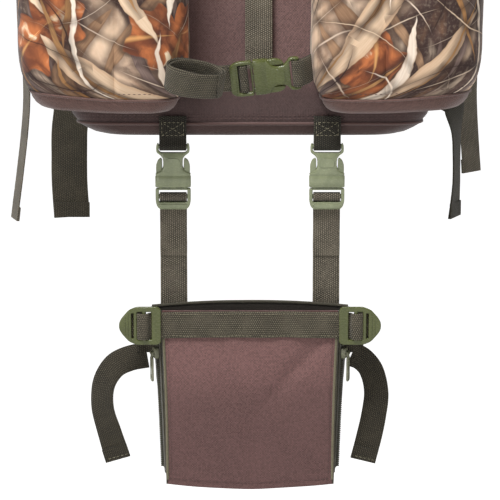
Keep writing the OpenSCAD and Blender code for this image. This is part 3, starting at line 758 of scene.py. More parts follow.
def squircle(half_w, half_t, z, count=40, power=0.42):
    """A ring between an oval and a rectangle, at height z."""
    ring = []
    for k in range(count):
        c, s = math.cos(2 * math.pi * k / count), math.sin(2 * math.pi * k / count)
        x, y = (math.copysign(abs(share) ** power, share) for share in (c, s))
        ring.append(Vector((half_w * x, half_t * y, z)))
    return ring


def mirrored_outline(half):
    """Closes an outline whose right half is given from bottom to top."""
    return half + [(-x, y) for x, y in reversed(half)]


def socket(name, body, place, width=WEBBING, material=OLIVE):
    """A side-release socket: sleeve, crowned neck, and two ears that hold the webbing's bar."""
    full, neck, ear = width / 2 + 4, width / 2 - 3.5, width / 2 + 2.7
    piece = Piece(name, body, (name,), (material,), place, "olive_plastic")
    piece.loft([squircle(half_w, half_t, z) for z, half_w, half_t in (
        (12, full - 1.6, 2.9), (0.6, full - 1.3, 3.0), (0.0, full - 0.7, 3.9), (0.6, full, 4.5),
        (10.2, full, 4.5), (10.8, full - 0.6, 4.0), (11.6, full - 0.6, 4.0), (12.2, full - 0.1, 4.4),
        (13.6, full - 1.3, 4.4), (15.0, full - 4.0, 4.3), (16.8, neck + 1.2, 4.2), (20, neck, 4.3),
        (24, neck, 4.4), (27, neck + 0.4, 4.2), (29.6, neck + 2.2, 3.5), (31.6, neck + 3.4, 2.6))])
    inner = width / 2 + 0.7
    prongs = mirrored_outline([(neck - 3, 24), (neck, 26.5), (neck + 2.2, 29.5), (ear, 32.5), (ear + 0.3, 36),
                               (ear, 39.5), (ear - 1.2, 41.2), (inner, 41), (inner, 34.4),
                               (width / 2 - 1.2, 32.5)])
    piece.plate(rounded(prongs, 1.4), [], 5.0, 1.1, Matrix())
    piece.tube([at(-width / 2 - 1.5, 0, 38), at(width / 2 + 1.5, 0, 38)], BAR)
    thumb_rest = mirrored_outline([(neck - 2.2, 19), (neck - 2.4, 25), (neck - 4.5, 27.5)])
    for sy in (-1, 1):
        piece.plate(rounded(thumb_rest, 2), [], 0.9, 0.4, moved(0, sy * 4.4, 0))
    return piece.done()


def plug(name, body, place, width=WEBBING, material=OLIVE):
    """A side-release plug: a frame with the webbing's bar, two springy prongs and a guide between them."""
    half, window, edge = width / 2 + 3.8, width / 2 + 0.6, width / 2 + 3.1
    piece = Piece(name, body, (name,), (material,), place, "olive_plastic")
    frame_line = mirrored_outline([(half - 4, -21), (half - 1.2, -18), (half, -13), (half, -1.0)])
    hole = [(-window, -14), (window, -14), (window, -2), (-window, -2)]
    piece.plate(rounded(frame_line, 2.0), [rounded(hole, 1.2)], 5.0, 1.0, moved(0, -0.7, 0))
    piece.plate(rounded(mirrored_outline([(half - 5, -19.6), (half - 3, -15.8)]), 1.2), [], 1.4, 0.6,
                moved(0, -3.3, 0))
    piece.tube([at(-window - 0.5, 0, -9), at(window + 0.5, 0, -9)], BAR)
    guide = mirrored_outline([(2.5, -1.9), (2.2, 22), (1, 23)])
    piece.plate(rounded(guide, 0.8), [], 3.6, 0.6, moved(0, -0.2, 0))
    prong = [(edge - 5.8, -1.5), (edge - 2.0, -1.5), (edge - 1.6, 8), (edge, 12.5), (edge + 0.1, 17),
             (edge, 21), (edge - 1.6, 25.3), (edge - 4.4, 27.5), (edge - 5.6, 26), (edge - 5.6, 8)]
    for sx in (-1, 1):
        piece.plate(rounded([(sx * x, z) for x, z in prong], 1.2), [], 4.4, 0.9, Matrix())
    return piece.done()


def ladder_lock(name, body, nodes, places, width=WEBBING):
    """A ladder lock with a shield-shaped lifting tab towards +X and its centre bar on Z."""
    half = width / 2 + 5.5
    line = [(-15.5, -half + 2.5), (-13, -half), (7, -half), (14, -half + 3), (20.5, -half / 2.4), (23, -3),
            (23, 3), (20.5, half / 2.4), (14, half - 3), (7, half), (-13, half), (-15.5, half - 2.5)]
    slot_half, thin_half = width / 2 + 0.7, width / 2 - 0.5
    slots = [[(-7, -slot_half), (6.5, -slot_half), (6.5, slot_half), (-7, slot_half)],
             [(9.5, -thin_half), (11.6, -thin_half), (11.6, thin_half), (9.5, thin_half)]]
    piece = Piece(name, body, nodes, (OLIVE,), slot="olive_plastic")
    for place in places:
        piece.place = place
        piece.plate(rounded(line, 2.6), [rounded(s, 0.9) for s in slots], 3.4, 1.0, Matrix())
        piece.tube([at(0, 0, -slot_half - 1), at(0, 0, slot_half + 1)], 2.0)
        for x, reach in ((14.6, half - 6), (17.4, half - 9)):
            for sy in (-1, 1):
                rib = [at(x, sy * 1.55, -reach), at(x, sy * 1.75, 0), at(x, sy * 1.55, reach)]
                piece.tube(rib, 0.55, sides=8)
    return piece.done()


FACE_OUT = axes(at(0, 0, 0), (0, 1, 0), (-1, 0, 0), (0, 0, 1))      # lays a plate across X, facing outward


def zip_slider(name, body, place):
    """A painted slider: a waisted body over the teeth and an arched bridge for the pull. X points outward."""
    piece = Piece(name, body, (name,), (PAINTED,), place, "painted_zinc")
    body_line = [(-3.1, -5), (3.1, -5), (4.5, -1.5), (4.5, 3.6), (3.2, 5), (-3.2, 5), (-4.5, 3.6),
                 (-4.5, -1.5)]
    piece.plate(rounded(body_line, 1.4), [], 2.2, 0.7, moved(3.9, 0, 0) @ FACE_OUT)
    for sy in (-1, 1):
        wall = [(sy * 3.0, -5), (sy * 4.5, -2.5), (sy * 4.5, 4), (sy * 3.3, 5)]
        piece.plate(wall, [], 3.2, 0.4, moved(2.4, 0, 0) @ FACE_OUT)
        bridge = ((4.4, -1.6), (6.4, -1.1), (7.3, 0), (6.4, 1.1), (4.4, 1.6))
        piece.tube([at(x, sy * 2.9, z) for x, z in bridge], 0.75, sides=8)
    piece.tube([at(6.6, -3.3, 0), at(6.6, 3.3, 0)], 0.8, sides=12)
    return piece.done()


def zip_pull(name, body, place):
    """A flat pull with an oval hole at each end, hanging along -Z from its pin."""
    piece = Piece(name, body, (name,), (PAINTED,), place, "painted_zinc")
    line = mirrored_outline([(2.4, -27), (3.75, -25.2), (3.75, -20), (3.3, -15), (3.75, -9), (3.5, -4.6),
                             (1.9, -3.2), (1.8, 0.6), (1.0, 1.5)])
    angles = [math.tau * k / 20 for k in range(20)]
    holes = [[(half_w * math.cos(a), z + half_h * math.sin(a)) for a in angles]
             for half_w, half_h, z in ((1.9, 2.3, -22.4), (1.5, 2.6, -9.2))]
    piece.plate(rounded(line, 1.0), holes, 1.8, 0.5, FACE_OUT)
    piece.tube([at(0, -1.9, 0), at(0, 1.9, 0)], 1.65, sides=14)
    return piece.done()


def zip_chain(piece, place, length):
    """A woven tape with a nylon coil down its middle. X points outward and Z runs along it."""
    piece.place = place
    tape = ((-6.4, 0.5), (-5, 0.9), (-2.6, 0.9), (0, 0.9), (2.6, 0.9), (5, 0.9), (6.4, 0.5))
    rows = [[at(x, y, length / 2 - i * 6) for y, x in tape] for i in range(int(length / 6) + 1)]
    piece.panel(rows, 0.9)
    for k in range(int(length / 1.9)):
        z = length / 2 - 1 - k * 1.9
        tooth = ((1.3, -2.5, 0), (2.6, -1.3, 0.2), (2.7, 0, 0.5), (2.6, 1.3, 0.7), (1.3, 2.5, 0.9))
        piece.tube([at(x, y, z - drop) for x, y, drop in tooth], 0.62, 1, sides=6)


# ---- Webbing routes, as (y, z) in a buckle's frame ----

SOCKET_TURN = [(-0.85, 46), (-1.7, 42.6), (-3.15, 38.6), (-2.2, 35.8), (0, 34.85), (2.2, 35.8), (3.15, 38.6),
               (1.7, 42.6), (0.85, 46)]
PLUG_TURN = [(4.3, -22), (4.0, -14), (3.15, -9.4), (2.2, -6.8), (0, -5.85), (-2.2, -6.8), (-3.15, -9.2),
             (-2.2, -11.6), (0.2, -12.7), (2.3, -14.3), (2.65, -17), (2.7, -22)]


def route(points):
    return [(at(0, y, z), RIGHT) for y, z in points]


def tack(piece, x, y, z, width, height, out=FORWARD):
    """A box of stitching with a cross, as sewn through a webbing's folded end."""
    left, right = x - width / 2 + 2.5, x + width / 2 - 2.5
    corners = [at(left, y, z), at(right, y, z), at(right, y, z + height), at(left, y, z + height)]
    for a, b in zip(corners, corners[1:] + corners[:1]):
        piece.stitches([a, b], out, 1)
    piece.stitches([corners[0], corners[2]], out, 1)
    piece.stitches([corners[1], corners[3]], out, 1)


# ---- Boot hanger ----

BUCKLE_X, BUCKLE_Y, BUCKLE_Z = 71, -188.4, -137


def hanger():
    # the hanger straps take the near-black webbing: painted shadow under the bag's base
    straps = Piece("hanger_straps", "boot_hanger", ("hanger_straps",), (SHADOWED_WEB, THREAD), slot="webbing")
    lower = Piece("boot_straps", "boot", ("boot_straps",), (WEB, THREAD), slot="webbing")
    for side, sx in SIDES:
        place = HANG @ moved(sx * BUCKLE_X, BUCKLE_Y, BUCKLE_Z)
        # the boot's buckles take the lighter copy of the olive plastic: painted light
        socket(f"boot_socket_{side}", "boot_hanger", place, material=LIT_OLIVE)
        plug(f"boot_plug_{side}", "boot", place, material=LIT_OLIVE)
        straps.place = lower.place = place
        path = [(0.5, 66), (-0.7, 54)] + SOCKET_TURN + [(0.9, 54), (2.1, 66)]
        straps.ribbon(route(path), WEBBING)
        tack(straps, 0, -1.6, 48.5, WEBBING, 12)
        path = [(0.9, -126), (0.2, -107), (2.0, -84), (4.3, -58), (4.3, -34)] + PLUG_TURN
        lower.ribbon(route(path + [(2.7, -34), (2.7, -58), (2.4, -66)]), WEBBING)
        lower.ribbon(route([(0.9, -124), (0.9, -180), (0.9, -262)]), WEBBING)
        tack(lower, 0, 1.8, -258, WEBBING, 12, BACKWARD)
    straps.done()
    lower.done()


# ---- Boot pouch ----

BOOT_TOP, BOOT_LOW = -246, -414
BACK_Y, FRONT_Y = -190, -225
BAND_Z = -259
BACK_DROP = 5       # the back of the mouth stands this much lower than its front
TAIL_WEBBING = 24.0


def boot_half(z, top, low):
    return low + (top - low) * (z - BOOT_LOW) / (BOOT_TOP - BOOT_LOW)


def boot_front(u, v):
    """The front panel at u from -1 to 1 across and v from 0 at the mouth to 1 at the hem."""
    z = BOOT_TOP + (BOOT_LOW - BOOT_TOP) * v - 4.5 * (1 - u * u) * v ** 4
    half = boot_half(z, 81, 77) - 1.2 * math.sin(math.pi * v)
    belly = (1 - u ** 4) * math.sin(math.pi * smoothstep(0.08, 1.05, v)) - 0.25 * smoothstep(0.2, 0.1, v)
    spot = at(u * half, FRONT_Y, z)
    folds = 1.5 * wrinkle(spot, 75, 4.0) * (1 - u ** 6) * smoothstep(0.15, 0.4, v)
    crease = u * 0.8 + (v - 0.62) * 1.5
    fold_line = -2.6 * math.exp(-(crease / 0.10) ** 2) * smoothstep(-0.1, 0.5, u) * (1 - u ** 8)
    light_fold = 1.6 * math.exp(-((u * 0.9 - v * 0.8 + 0.75) / 0.22) ** 2) * (1 - u ** 6)
    light_fold *= smoothstep(0.15, 0.35, v)
    return spot - at(0, 3.6 * belly + folds + fold_line + light_fold, 0)


def boot_pouch():
    cloths = (BROWN, LINING, BROWN_THREAD, GUSSET)
    pouch = Piece("boot_pouch", "boot", ("boot_pouch",), cloths, HANG, "pack_fabric")
    shares = [k / 56 for k in range(57)]
    front = [[boot_front(2 * across - 1, down) for across in shares] for down in shares]
    pouch.panel(front, 1.2, 0, 1)
    back = []
    for i in range(41):
        v = i / 40
        row = []
        for j in range(33):
            u = -1 + 2 * j / 32
            arch = 4.5 * (1 - u * u) * (1 - v) ** 3
            z = BOOT_TOP - BACK_DROP * (1 - v) + arch + (BOOT_LOW - BOOT_TOP) * v
            spot = at(u * boot_half(z, 92, 80), BACK_Y, z)
            row.append(spot + at(0, 0.7 * wrinkle(spot, 50, 8.0) - 0.4, 0))
        back.append(row)
    pouch.panel(back, 1.6, 1, 0)
    pouch.tube([p + at(0, 0.8, 0) for p in back[0]], 1.7, 3, sides=8)
    floor = [[at(sx * boot_half(BOOT_LOW, 81 + 11 * t, 77 + 3 * t), FRONT_Y + (BACK_Y - FRONT_Y) * t,
                 BOOT_LOW - 4.3 * (1 - sx * sx) * (1 - t) + 0.5 * sx * sx)
              for sx in (-1 + k / 8 for k in range(17))] for t in (m / 6 for m in range(7))]
    pouch.panel(floor, 1.4, 0, 1)
    hem = [boot_front(-0.97 + 1.94 * k / 60, 0.965) - at(0, 0.25, 0) for k in range(61)]
    pouch.stitches(hem, FORWARD, 2, pitch=3.6)
    for u in (-0.955, 0.955):
        side = [boot_front(u, 0.16 + 0.78 * k / 40) - at(0, 0.25, 0) for k in range(41)]
        pouch.stitches(side, FORWARD, 2, pitch=3.6)
    pouch.done()


def boot_gussets():
    gussets = Piece("boot_gussets", "boot", ("boot_gussets",), (GUSSET, LINING), HANG, "webbing")
    for _, sx in SIDES:
        rows = []
        for i in range(37):
            v = i / 36
            z = BOOT_TOP + (BOOT_LOW - BOOT_TOP) * v
            row = []
            for j in range(15):
                t = j / 14
                x = boot_half(z, 81, 77) * (1 - t) + boot_half(z, 92, 80) * t
                tuck = 2.6 * math.sin(math.pi * t) * (0.4 + 0.6 * v)
                spot = at(sx * (x - tuck), FRONT_Y + (BACK_Y - FRONT_Y) * t, z - BACK_DROP * t * (1 - v))
                row.append(spot + at(sx * 0.6 * wrinkle(spot, 22, 2.0), 0, 0))
            rows.append(row)
        gussets.panel(rows, -1.2 * sx, 0, 1)
    gussets.done()
    piping = Piece("boot_piping", "boot", ("boot_piping",), (PIPING,), HANG, "webbing")
    for u in (-1, 1):
        edge = [boot_front(u, 0.13 + 0.84 * k / 24) for k in range(25)]
        piping.tube([p + at(0, -0.2, -0.2) for p in edge], 1.25)
    piping.done()


def boot_band():
    """Webbing across the front of the mouth, through each lock's slot and round its centre bar."""
    band = Piece("boot_band", "boot", ("boot_band",), (STRAP_WEB, THREAD), HANG, "webbing")
    slot = [(92.0, -227.6), (94.6, -231.2), (97.5, -232.4), (101.2, -231.8), (103.4, -229.6), (105.4, -227.0),
            (108.6, -226.2), (111.5, -225.4)]

    def waver(x):
        return 0.7 * math.sin(abs(x) * 0.21 + math.copysign(1, x))

    stations = []
    for sx in (-1, 1):
        middle = [(x, -226.3 + waver(sx * x)) for x in (14, 32, 50, 68, 84)]
        stations.append([(at(sx * x, y, BAND_Z + 0.5 * math.sin(x * 0.05)), UP) for x, y in middle + slot])
    band.ribbon(stations[0][::-1] + stations[1], WEBBING, 1.6, steps=6)
    for dz in (-10.3, 10.6):
        band.stitches([at(x, -227.3 + waver(x), BAND_Z + dz) for x in range(-82, 83, 4)], FORWARD, 1)
    band.done()
    for side, sx in SIDES:
        name = f"ladder_lock_{side}"
        ladder_lock(name, name, (name,), [HANG @ moved(sx * 97.5, -229.1, BAND_Z) @ sided(sx)])


def boot_tails():
    """The band's spare ends: back past the gusset, folded, then arching out to hang beside the boot."""
    # the tails take the darker webbing: painted shade
    tails = Piece("boot_tails", "boot", ("boot_tails",), (SHADED_WEB, THREAD), HANG, "webbing")
    left = [(-96, -295), (-112, -298), (-127, -306), (-137, -323), (-138.5, -346), (-132.5, -370),
            (-124.5, -397)]
    right = [(95, -294), (105, -299), (114, -311), (118.5, -332), (116, -356), (111.5, -378), (106.5, -398)]
    for sx, hang_line, twist in ((-1, left, 0.5), (1, right, 0.35)):
        behind = ((111.5, -225.0, 0, UP), (109.5, -221.5, 1, UP), (103, -214, 3, UP),
                  (98.4, -207.6, 7, Vector((0, 0.1, 1))), (96.0, -203.4, 14, UP),
                  (94, -202.6, 22, Vector((-sx * 0.3, 0, 1))), (94, -202.4, 33, Vector((-sx * 0.5, 0, 1))))
        tails.ribbon([(at(sx * x, y, BAND_Z - drop), across) for x, y, drop, across in behind], TAIL_WEBBING)
        stations = []
        for k, (x, z) in enumerate(hang_line):
            t = k / (len(hang_line) - 1)
            before, after = hang_line[max(k - 1, 0)], hang_line[min(k + 1, len(hang_line) - 1)]
            ahead = Vector((after[0] - before[0], 0, after[1] - before[1])).normalized()
            flat = Vector((ahead.z, 0, -ahead.x))
            lean = Matrix.Rotation(twist * math.sin(math.pi * t), 3, ahead)
            stations.append((at(x, -202.5 + 1.2 * math.sin(3 * t), z), lean @ flat))
        tails.ribbon(stations, TAIL_WEBBING, steps=8)
        end, across = stations[-1][0], stations[-1][1].normalized()
        ahead = (end - stations[-2][0]).normalized()
        fold = [(end - ahead * 13 * MM - at(0, 1.5, 0), across), (end - at(0, 1.6, 0), across)]
        tails.ribbon(fold, TAIL_WEBBING, steps=3)
        seam = end - ahead * 3 * MM - at(0, 2.5, 0)
        tails.stitches([seam - across * 10 * MM, seam + across * 10 * MM], FORWARD, 1)
    tails.done()


def boot_zips():
    chains = Piece("boot_zips", "boot", ("boot_zips",), (GUSSET, COIL), slot="zip_tape")
    for side, sx in SIDES:
        place = HANG @ sided(sx) @ moved(85.4, -217, -268) @ turn(-17.45, "Z") @ turn(2, "Y")
        slider, pull = f"boot_slider_{side}", f"boot_pull_{side}"
        zip_chain(chains, place @ moved(-0.6, 0, -66), 132)
        zip_slider(slider, slider, place @ moved(0, 0, -20))
        zip_pull(pull, pull, place @ moved(6.6, 0, -20) @ turn(-2, "Y"))
    chains.done()


# ---- Gun strap ----

def gun_strap():
    place = moved(3.6, -250, -30) @ turn(-6, "Y") @ turn(16, "X") @ turn(90, "Y")
    socket("gun_socket", "pack", place)
    plug("gun_plug", "gun_strap", place)
    right = Piece("gun_strap_right", "pack", ("gun_strap_right",), (STRAP_WEB, THREAD), place, "webbing")
    loose = [(2.2, 44), (5.4, 48), (11.0, 52)]
    right.ribbon(route([(9.4, 52), (3.6, 48), (0.4, 44)] + SOCKET_TURN[1:-1] + loose), WEBBING)
    right.done()
    slack = {"start": place @ at(0, 4, -22), "end": place @ at(0, 9, -50)}
    left = Piece("gun_strap_left", "pack", ("gun_strap_left",), (STRAP_WEB, THREAD), place, "webbing",
                 bend=slack)
    left.ribbon(route([(11.4, -52.5), (7.4, -42), (5.4, -33), (4.5, -26)] + PLUG_TURN), WEBBING)
    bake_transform(left.done())
    coil = Piece("gun_strap_coil", "gun_strap", ("gun_strap_coil",), (STRAP_WEB, THREAD), slot="webbing")
    coil.place = moved(-49, -280.5, -29) @ turn(9, "Y") @ turn(28, "X")
    turns, stations = 1.85, []
    for k in range(75):
        a = math.tau * turns * k / 74
        shrink = 1.0 + 1.9 * a / math.tau
        wobble = 0.8 * math.sin(2.3 * a + 1)
        spot = at((27 - shrink + wobble * 0.4) * math.cos(a - 0.6), (14 - shrink * 0.9) * math.sin(a - 0.6),
                  wobble)
        stations.append((spot, Vector((0.05 * math.sin(a), 0, 1))))
    coil.ribbon(stations, WEBBING, steps=2)
    coil.done()


# ---- Bag ----

BAG_MIDDLE = (0.0, -100.0)
BAG_HALF_W, BAG_HALF_D, BAG_CORNER = 160.0, 85.0, 30.0


def bag_ring(z, half_w, half_d, radius=BAG_CORNER, sag=1.2):
    """One level of the bag. sag is how deep its wrinkles are, in millimetres."""
    ring = rounded_ring(half_w, half_d, radius, z, 168, BAG_MIDDLE)
    middle = at(*BAG_MIDDLE, z)
    return [p + (p - middle).normalized() * sag * wrinkle(p, 60, 1.0) * MM for p in ring]


def bag():
    levels = [(-78, 160, 82.6, 0.3), (-72, 165, 83.4, 0.5), (-64, 168.5, 84, 0.8), (-54, 168.5, 84.4, 1),
              (-42, 165.5, 84.6, 1)]
    levels += [(z, 159.5 + 3.5 * smoothstep(20, -30, z), 84.6, 1.2) for z in range(-30, 376, 14)]
    levels.append((384, 159.6, 84.8, 0.1))
    main = Piece("main_bag", "pack", ("main_bag",), (DEEP_BROWN, LINING, BROWN_THREAD), slot="pack_fabric")
    main.panel([bag_ring(z, w, d, sag=sag) for z, w, d, sag in levels], 2.4, 0, 1, loop=True)
    floor = [[p.lerp(at(*BAG_MIDDLE, -77), t) for p in bag_ring(-77, 150, 80, sag=0)]
             for t in (0.02, 0.3, 0.6, 0.9, 0.985)]
    main.panel(floor, 1.6, 1, 0, loop=True)
    for z in (-73.5, -70.5):
        ring = bag_ring(z, 165.6 + (z + 72) * 0.7, 83.9, sag=0)
        main.stitches(ring + ring[:1], FORWARD, 2, pitch=4.2)
    main.done()
    # the base takes the darker cloth: painted shade under the bag
    cloths = (SHADED_BASE_BROWN, LINING, BROWN_THREAD)
    base = Piece("base_panel", "pack", ("base_panel",), cloths, slot="pack_fabric")
    levels = ((-90.0, 20, 12, 11), (-90.2, 80, 50, 28), (-90.3, 124, 70, 30), (-89.6, 138, 75.5, 30),
              (-87.6, 146, 78, 30), (-84, 153, 80.6, 30), (-80.5, 158.5, 82.4, 30), (-78.4, 160.2, 83, 30))
    base.panel([bag_ring(z, w, d, r, 0.6) for z, w, d, r in levels], 1.8, 0, 1, loop=True)
    seam = bag_ring(-78.3, 160.4, 83.3, sag=0.5)
    base.tube(seam, 1.5, 2, closed=True)
    base.done()
    rim = Piece("rim_binding", "pack", ("rim_binding",), (WEB, THREAD), slot="webbing")
    ring = rounded_ring(160.9, 85.9, 30.9, 377, 150, BAG_MIDDLE)
    edge = [(p + at(0, 0, 0.3 * math.sin(k)), UP) for k, p in enumerate(ring + ring[:1])]
    rim.ribbon(edge, 16, 1.4, steps=1)
    for dz in (-6, 6):
        line = [p + (p - at(*BAG_MIDDLE, 377)).normalized() * 0.9 * MM + at(0, 0, dz) for p in ring]
        for k in range(0, 150, 3):
            out = (line[k] - at(*BAG_MIDDLE, 377 + dz)).normalized()
            rim.stitches([line[k], line[(k + 3) % 150]], out, 1, pitch=4)
    rim.done()


# ---- Side pockets ----

def pocket_outline(inset):
    """The right pocket's plan at one height, pushed out of the bag it is sewn to."""
    corners = [(140, -123 - inset), (196 - inset, -141 - inset), (208 - inset, -165 - inset / 2),
               (208 - inset, -226 + inset), (199 - inset, -250 + inset), (172, -264 + inset),
               (88, -264 + inset), (65 + inset, -257 + inset), (56 + inset, -240 + inset), (56 + inset, -160)]
    return resample([v.to_3d() * MM for v in rounded(corners, 16, 6)], 150, closed=True)


def outside_bag(p):
    """Moves a point that lies inside the bag out to its wall, and a little clear of it."""
    x, y = abs(p.x / MM), p.y / MM - BAG_MIDDLE[1]
    flat_w, flat_d = BAG_HALF_W - BAG_CORNER, BAG_HALF_D - BAG_CORNER
    qx, qy = x - flat_w, abs(y) - flat_d
    reach = BAG_CORNER + 0.4
    if max(qx, qy) >= reach or (qx > 0 and qy > 0 and math.hypot(qx, qy) >= reach):
        return p
    if qx > 0 and qy > 0:
        scale = reach / math.hypot(qx, qy)
        qx, qy = qx * scale, qy * scale
    elif reach - qx < reach - qy:
        qx = reach
    else:
        qy = reach
    return at(math.copysign(qx + flat_w, p.x), math.copysign(qy + flat_d, y) + BAG_MIDDLE[1], p.z / MM)


POCKET_MIDDLE = at(138, -215, 0)
POCKET_PRINT = {"left": (0.0, 0.0), "right": (1.37, 0.64)}      # where each was cut from the printed cloth


def pocket_ring(z, inset, rise=0.0):
    """One level of the right pocket. The cloth swells a little and its level lifts towards the outer side."""
    ring = []
    for p in pocket_outline(inset):
        p = p + at(0, 0, z)
        out = Vector((p.x - POCKET_MIDDLE.x, p.y - POCKET_MIDDLE.y, 0)).normalized()
        p += out * (1.3 * wrinkle(p, 55, 6.0) + 0.4 * wrinkle(p, 18, 2.0)) * MM * smoothstep(-52, -30, z)
        dart = math.exp(-((p.x / MM - 119 + 0.045 * z) / 2.4) ** 2) * smoothstep(-250, -262, p.y / MM)
        p += at(0, 3.0 * dart * smoothstep(235, 190, z), 0)
        p.z += rise * smoothstep(110, 205, p.x / MM) * MM
        ring.append(outside_bag(p))
    return ring


def pockets():
    levels = ((-50, 9.0, 6), (-47.5, 7.2, 6), (-43, 4.6, 6), (-37, 2.2, 5), (-30, 0.7, 4), (-20, -0.4, 2))
    sides = tuple((z, -1.0, 0) for z in range(-8, 205, 9))
    top = ((212, -0.4, 0), (221, 0.6, 0), (230, 2.4, 0), (238, 5.4, 0), (244.5, 9.6, 0), (248.5, 14.5, 0))
    for side, sx in SIDES:
        name = f"pocket_{side}"
        pocket = Piece(name, "pack", (name,), (CAMO, BROWN_THREAD, LINING), sided(sx), "camo_fabric")
        pocket.shift = POCKET_PRINT[side]
        rings = [pocket_ring(*level) for level in levels + sides + top]
        crown = [rings[-1]]
        middle = sum(crown[0], Vector()) / len(crown[0])
        for share, lift in ((0.82, 1.8), (0.55, 3.0), (0.25, 3.6), (0.03, 3.8)):
            crown.append([outside_bag(middle.lerp(p, share) + at(0, 0, lift)) for p in crown[0]])
        pocket.panel(rings, 1.3, 0, 2, loop=True)
        pocket.panel(crown, 1.3, 0, 2, loop=True, uvs=unfolded_map(crown, (138, -215), 250))
        pocket.tube([p + at(0, 0, 0.4) for p in rings[-1]], 1.4, 1, closed=True, sides=8)
        for z in (-44.5, 226):
            ring = pocket_ring(z, 5.2 if z < 0 else 1.4, 6 if z < 0 else 0)
            line = [p for p in ring if p.y < -0.186 or p.x > 0.161]
            start = max(range(len(line)), key=lambda k: (line[k] - line[k - 1]).length)
            line = line[start:] + line[:start]
            for a, b in zip(line[::3], line[3::3]):
                out = ((a + b) / 2 - POCKET_MIDDLE - at(0, 0, z)).normalized()
                pocket.stitches([a, b], out, 1, pitch=4)
        pocket.done()
    bases = Piece("pocket_bases", "pack", ("pocket_bases",), (FOOT_BROWN, BROWN_THREAD), slot="pack_fabric")
    levels = ((-50.2, 8.7, 6), (-52, 8.6, 6), (-56, 10.2, 5.5), (-60, 13, 5), (-62.6, 16.5, 4.5))
    for _, sx in SIDES:
        bases.place = sided(sx)
        rings = [pocket_ring(*level) for level in levels]
        hem = rings[-1]
        middle = sum(hem, Vector()) / len(hem)
        for share in (0.75, 0.4, 0.04):
            rings.append([outside_bag(middle.lerp(p, share) - at(0, 0, 0.6)) for p in hem])
        bases.panel(rings, -1.6, 0, 0, loop=True)
        bases.tube(pocket_ring(-50.6, 8.2, 6), 1.25, 0, closed=True, sides=8)
    bases.done()
    zips = Piece("pocket_zips", "pack", ("pocket_zips",), (GUSSET, COIL), slot="zip_tape")
    for side, sx in SIDES:
        place = sided(sx) @ axes(Vector((130, -264.3, 204)), (0, -1, 0), (0, 0, 1), (-1, 0, 0))
        slider, pull = f"pocket_slider_{side}", f"pocket_pull_{side}"
        zip_chain(zips, place @ moved(0.4, 0, 0), 84)
        zip_slider(slider, slider, place @ moved(0, 0, 34))
        zip_pull(pull, pull, place @ moved(6.6, 0, 34) @ turn(-90, "X"))
    zips.done()


# ---- Padding ----

VOXEL, PRESSURE, FRAMES = 4.6, 4.0, 20      # of the padding's remesh, in millimetres, and of its simulation
SEAM_REACH, SEAM_DEPTH, SEAM_HELD = 3.4, 2.2, 2.6       # how far a seam pulls, how deep, and what it holds


def inflate(piece, seams=(), cap=3.5):
    """Fills a closed skin with foam: a cloth simulation under pressure, held down along stitched seams.

    No point moves further than cap millimetres.
    """
    remesh = piece.modifiers.new("Remesh", "REMESH")
    remesh.mode = "VOXEL"
    remesh.voxel_size = VOXEL * MM
    mesh = bpy.data.meshes.new_from_object(piece.evaluated_get(bpy.context.evaluated_depsgraph_get()))
    piece.modifiers.clear()
    materials = list(piece.data.materials)
    piece.data = mesh
    mesh.materials.clear()
    for material in materials:
        mesh.materials.append(material)
    held = []
    for v in mesh.vertices:
        near = min((abs(seam(v.co)) for seam in seams), default=1.0)
        if near < SEAM_REACH * MM:
            v.co -= v.normal * SEAM_DEPTH * MM * smoothstep(SEAM_REACH * MM, 0.0, near)
            if near < SEAM_HELD * MM:
                held.append(v.index)
    rest = [v.co.copy() for v in mesh.vertices]
    cloth = piece.modifiers.new("Cloth", "CLOTH")
    if held:
        piece.vertex_groups.new(name="seams").add(held, 1.0, "REPLACE")
        cloth.settings.vertex_group_mass = "seams"
    cloth.settings.quality = 5
    cloth.settings.mass = 0.15
    cloth.settings.tension_stiffness = 20
    cloth.settings.bending_stiffness = 0.6
    cloth.settings.use_pressure = True
    cloth.settings.uniform_pressure_force = PRESSURE
    cloth.settings.effector_weights.gravity = 0
    cloth.point_cache.frame_start, cloth.point_cache.frame_end = 1, FRAMES
    for step in range(1, FRAMES + 1):
        bpy.context.scene.frame_set(step)
    puffed = piece.evaluated_get(bpy.context.evaluated_depsgraph_get()).data
    pushed = [v.co.copy() for v in puffed.vertices]
    piece.modifiers.clear()
    for v, old, new in zip(mesh.vertices, rest, pushed):
        step = new - old
        v.co = old + step * min(1.0, cap * MM / max(step.length, 1e-9))
    bpy.context.scene.frame_set(1)
    smooth = piece.modifiers.new("Smooth", "SMOOTH")
    smooth.iterations = 3
    piece.modifiers.new("Subdivision", "SUBSURF").levels = 1
    mesh = bpy.data.meshes.new_from_object(piece.evaluated_get(bpy.context.evaluated_depsgraph_get()))
    piece.modifiers.clear()
    piece.data = mesh
    mesh.shade_smooth()


def slab(piece, outline, low, high, ease=2.6):
    """A closed block of an (x, z) outline between two depths along Y, its edges eased."""
    points = [Vector(p) for p in outline]
    middle = sum(points, Vector((0, 0))) / len(points)
    rings = []
    for y, inset in ((low, ease), (low + ease * 0.35, ease * 0.3), (low + ease, 0), (high - ease, 0),
                     (high - ease * 0.35, ease * 0.3), (high, ease)):
        eased = [p - (p - middle).normalized() * inset for p in points]
        rings.append([Vector((p.x, y, p.y)) for p in eased])
    piece.loft(rings)


def block_outline(x, z, half_w, half_h, radius):
    corners = ((-1, -1), (1, -1), (1, 1), (-1, 1))
    return rounded([(x + a * half_w, z + b * half_h) for a, b in corners], radius * 1.5, 6)


def line_at(axis, value):
    return lambda p: p[axis] - value * MM


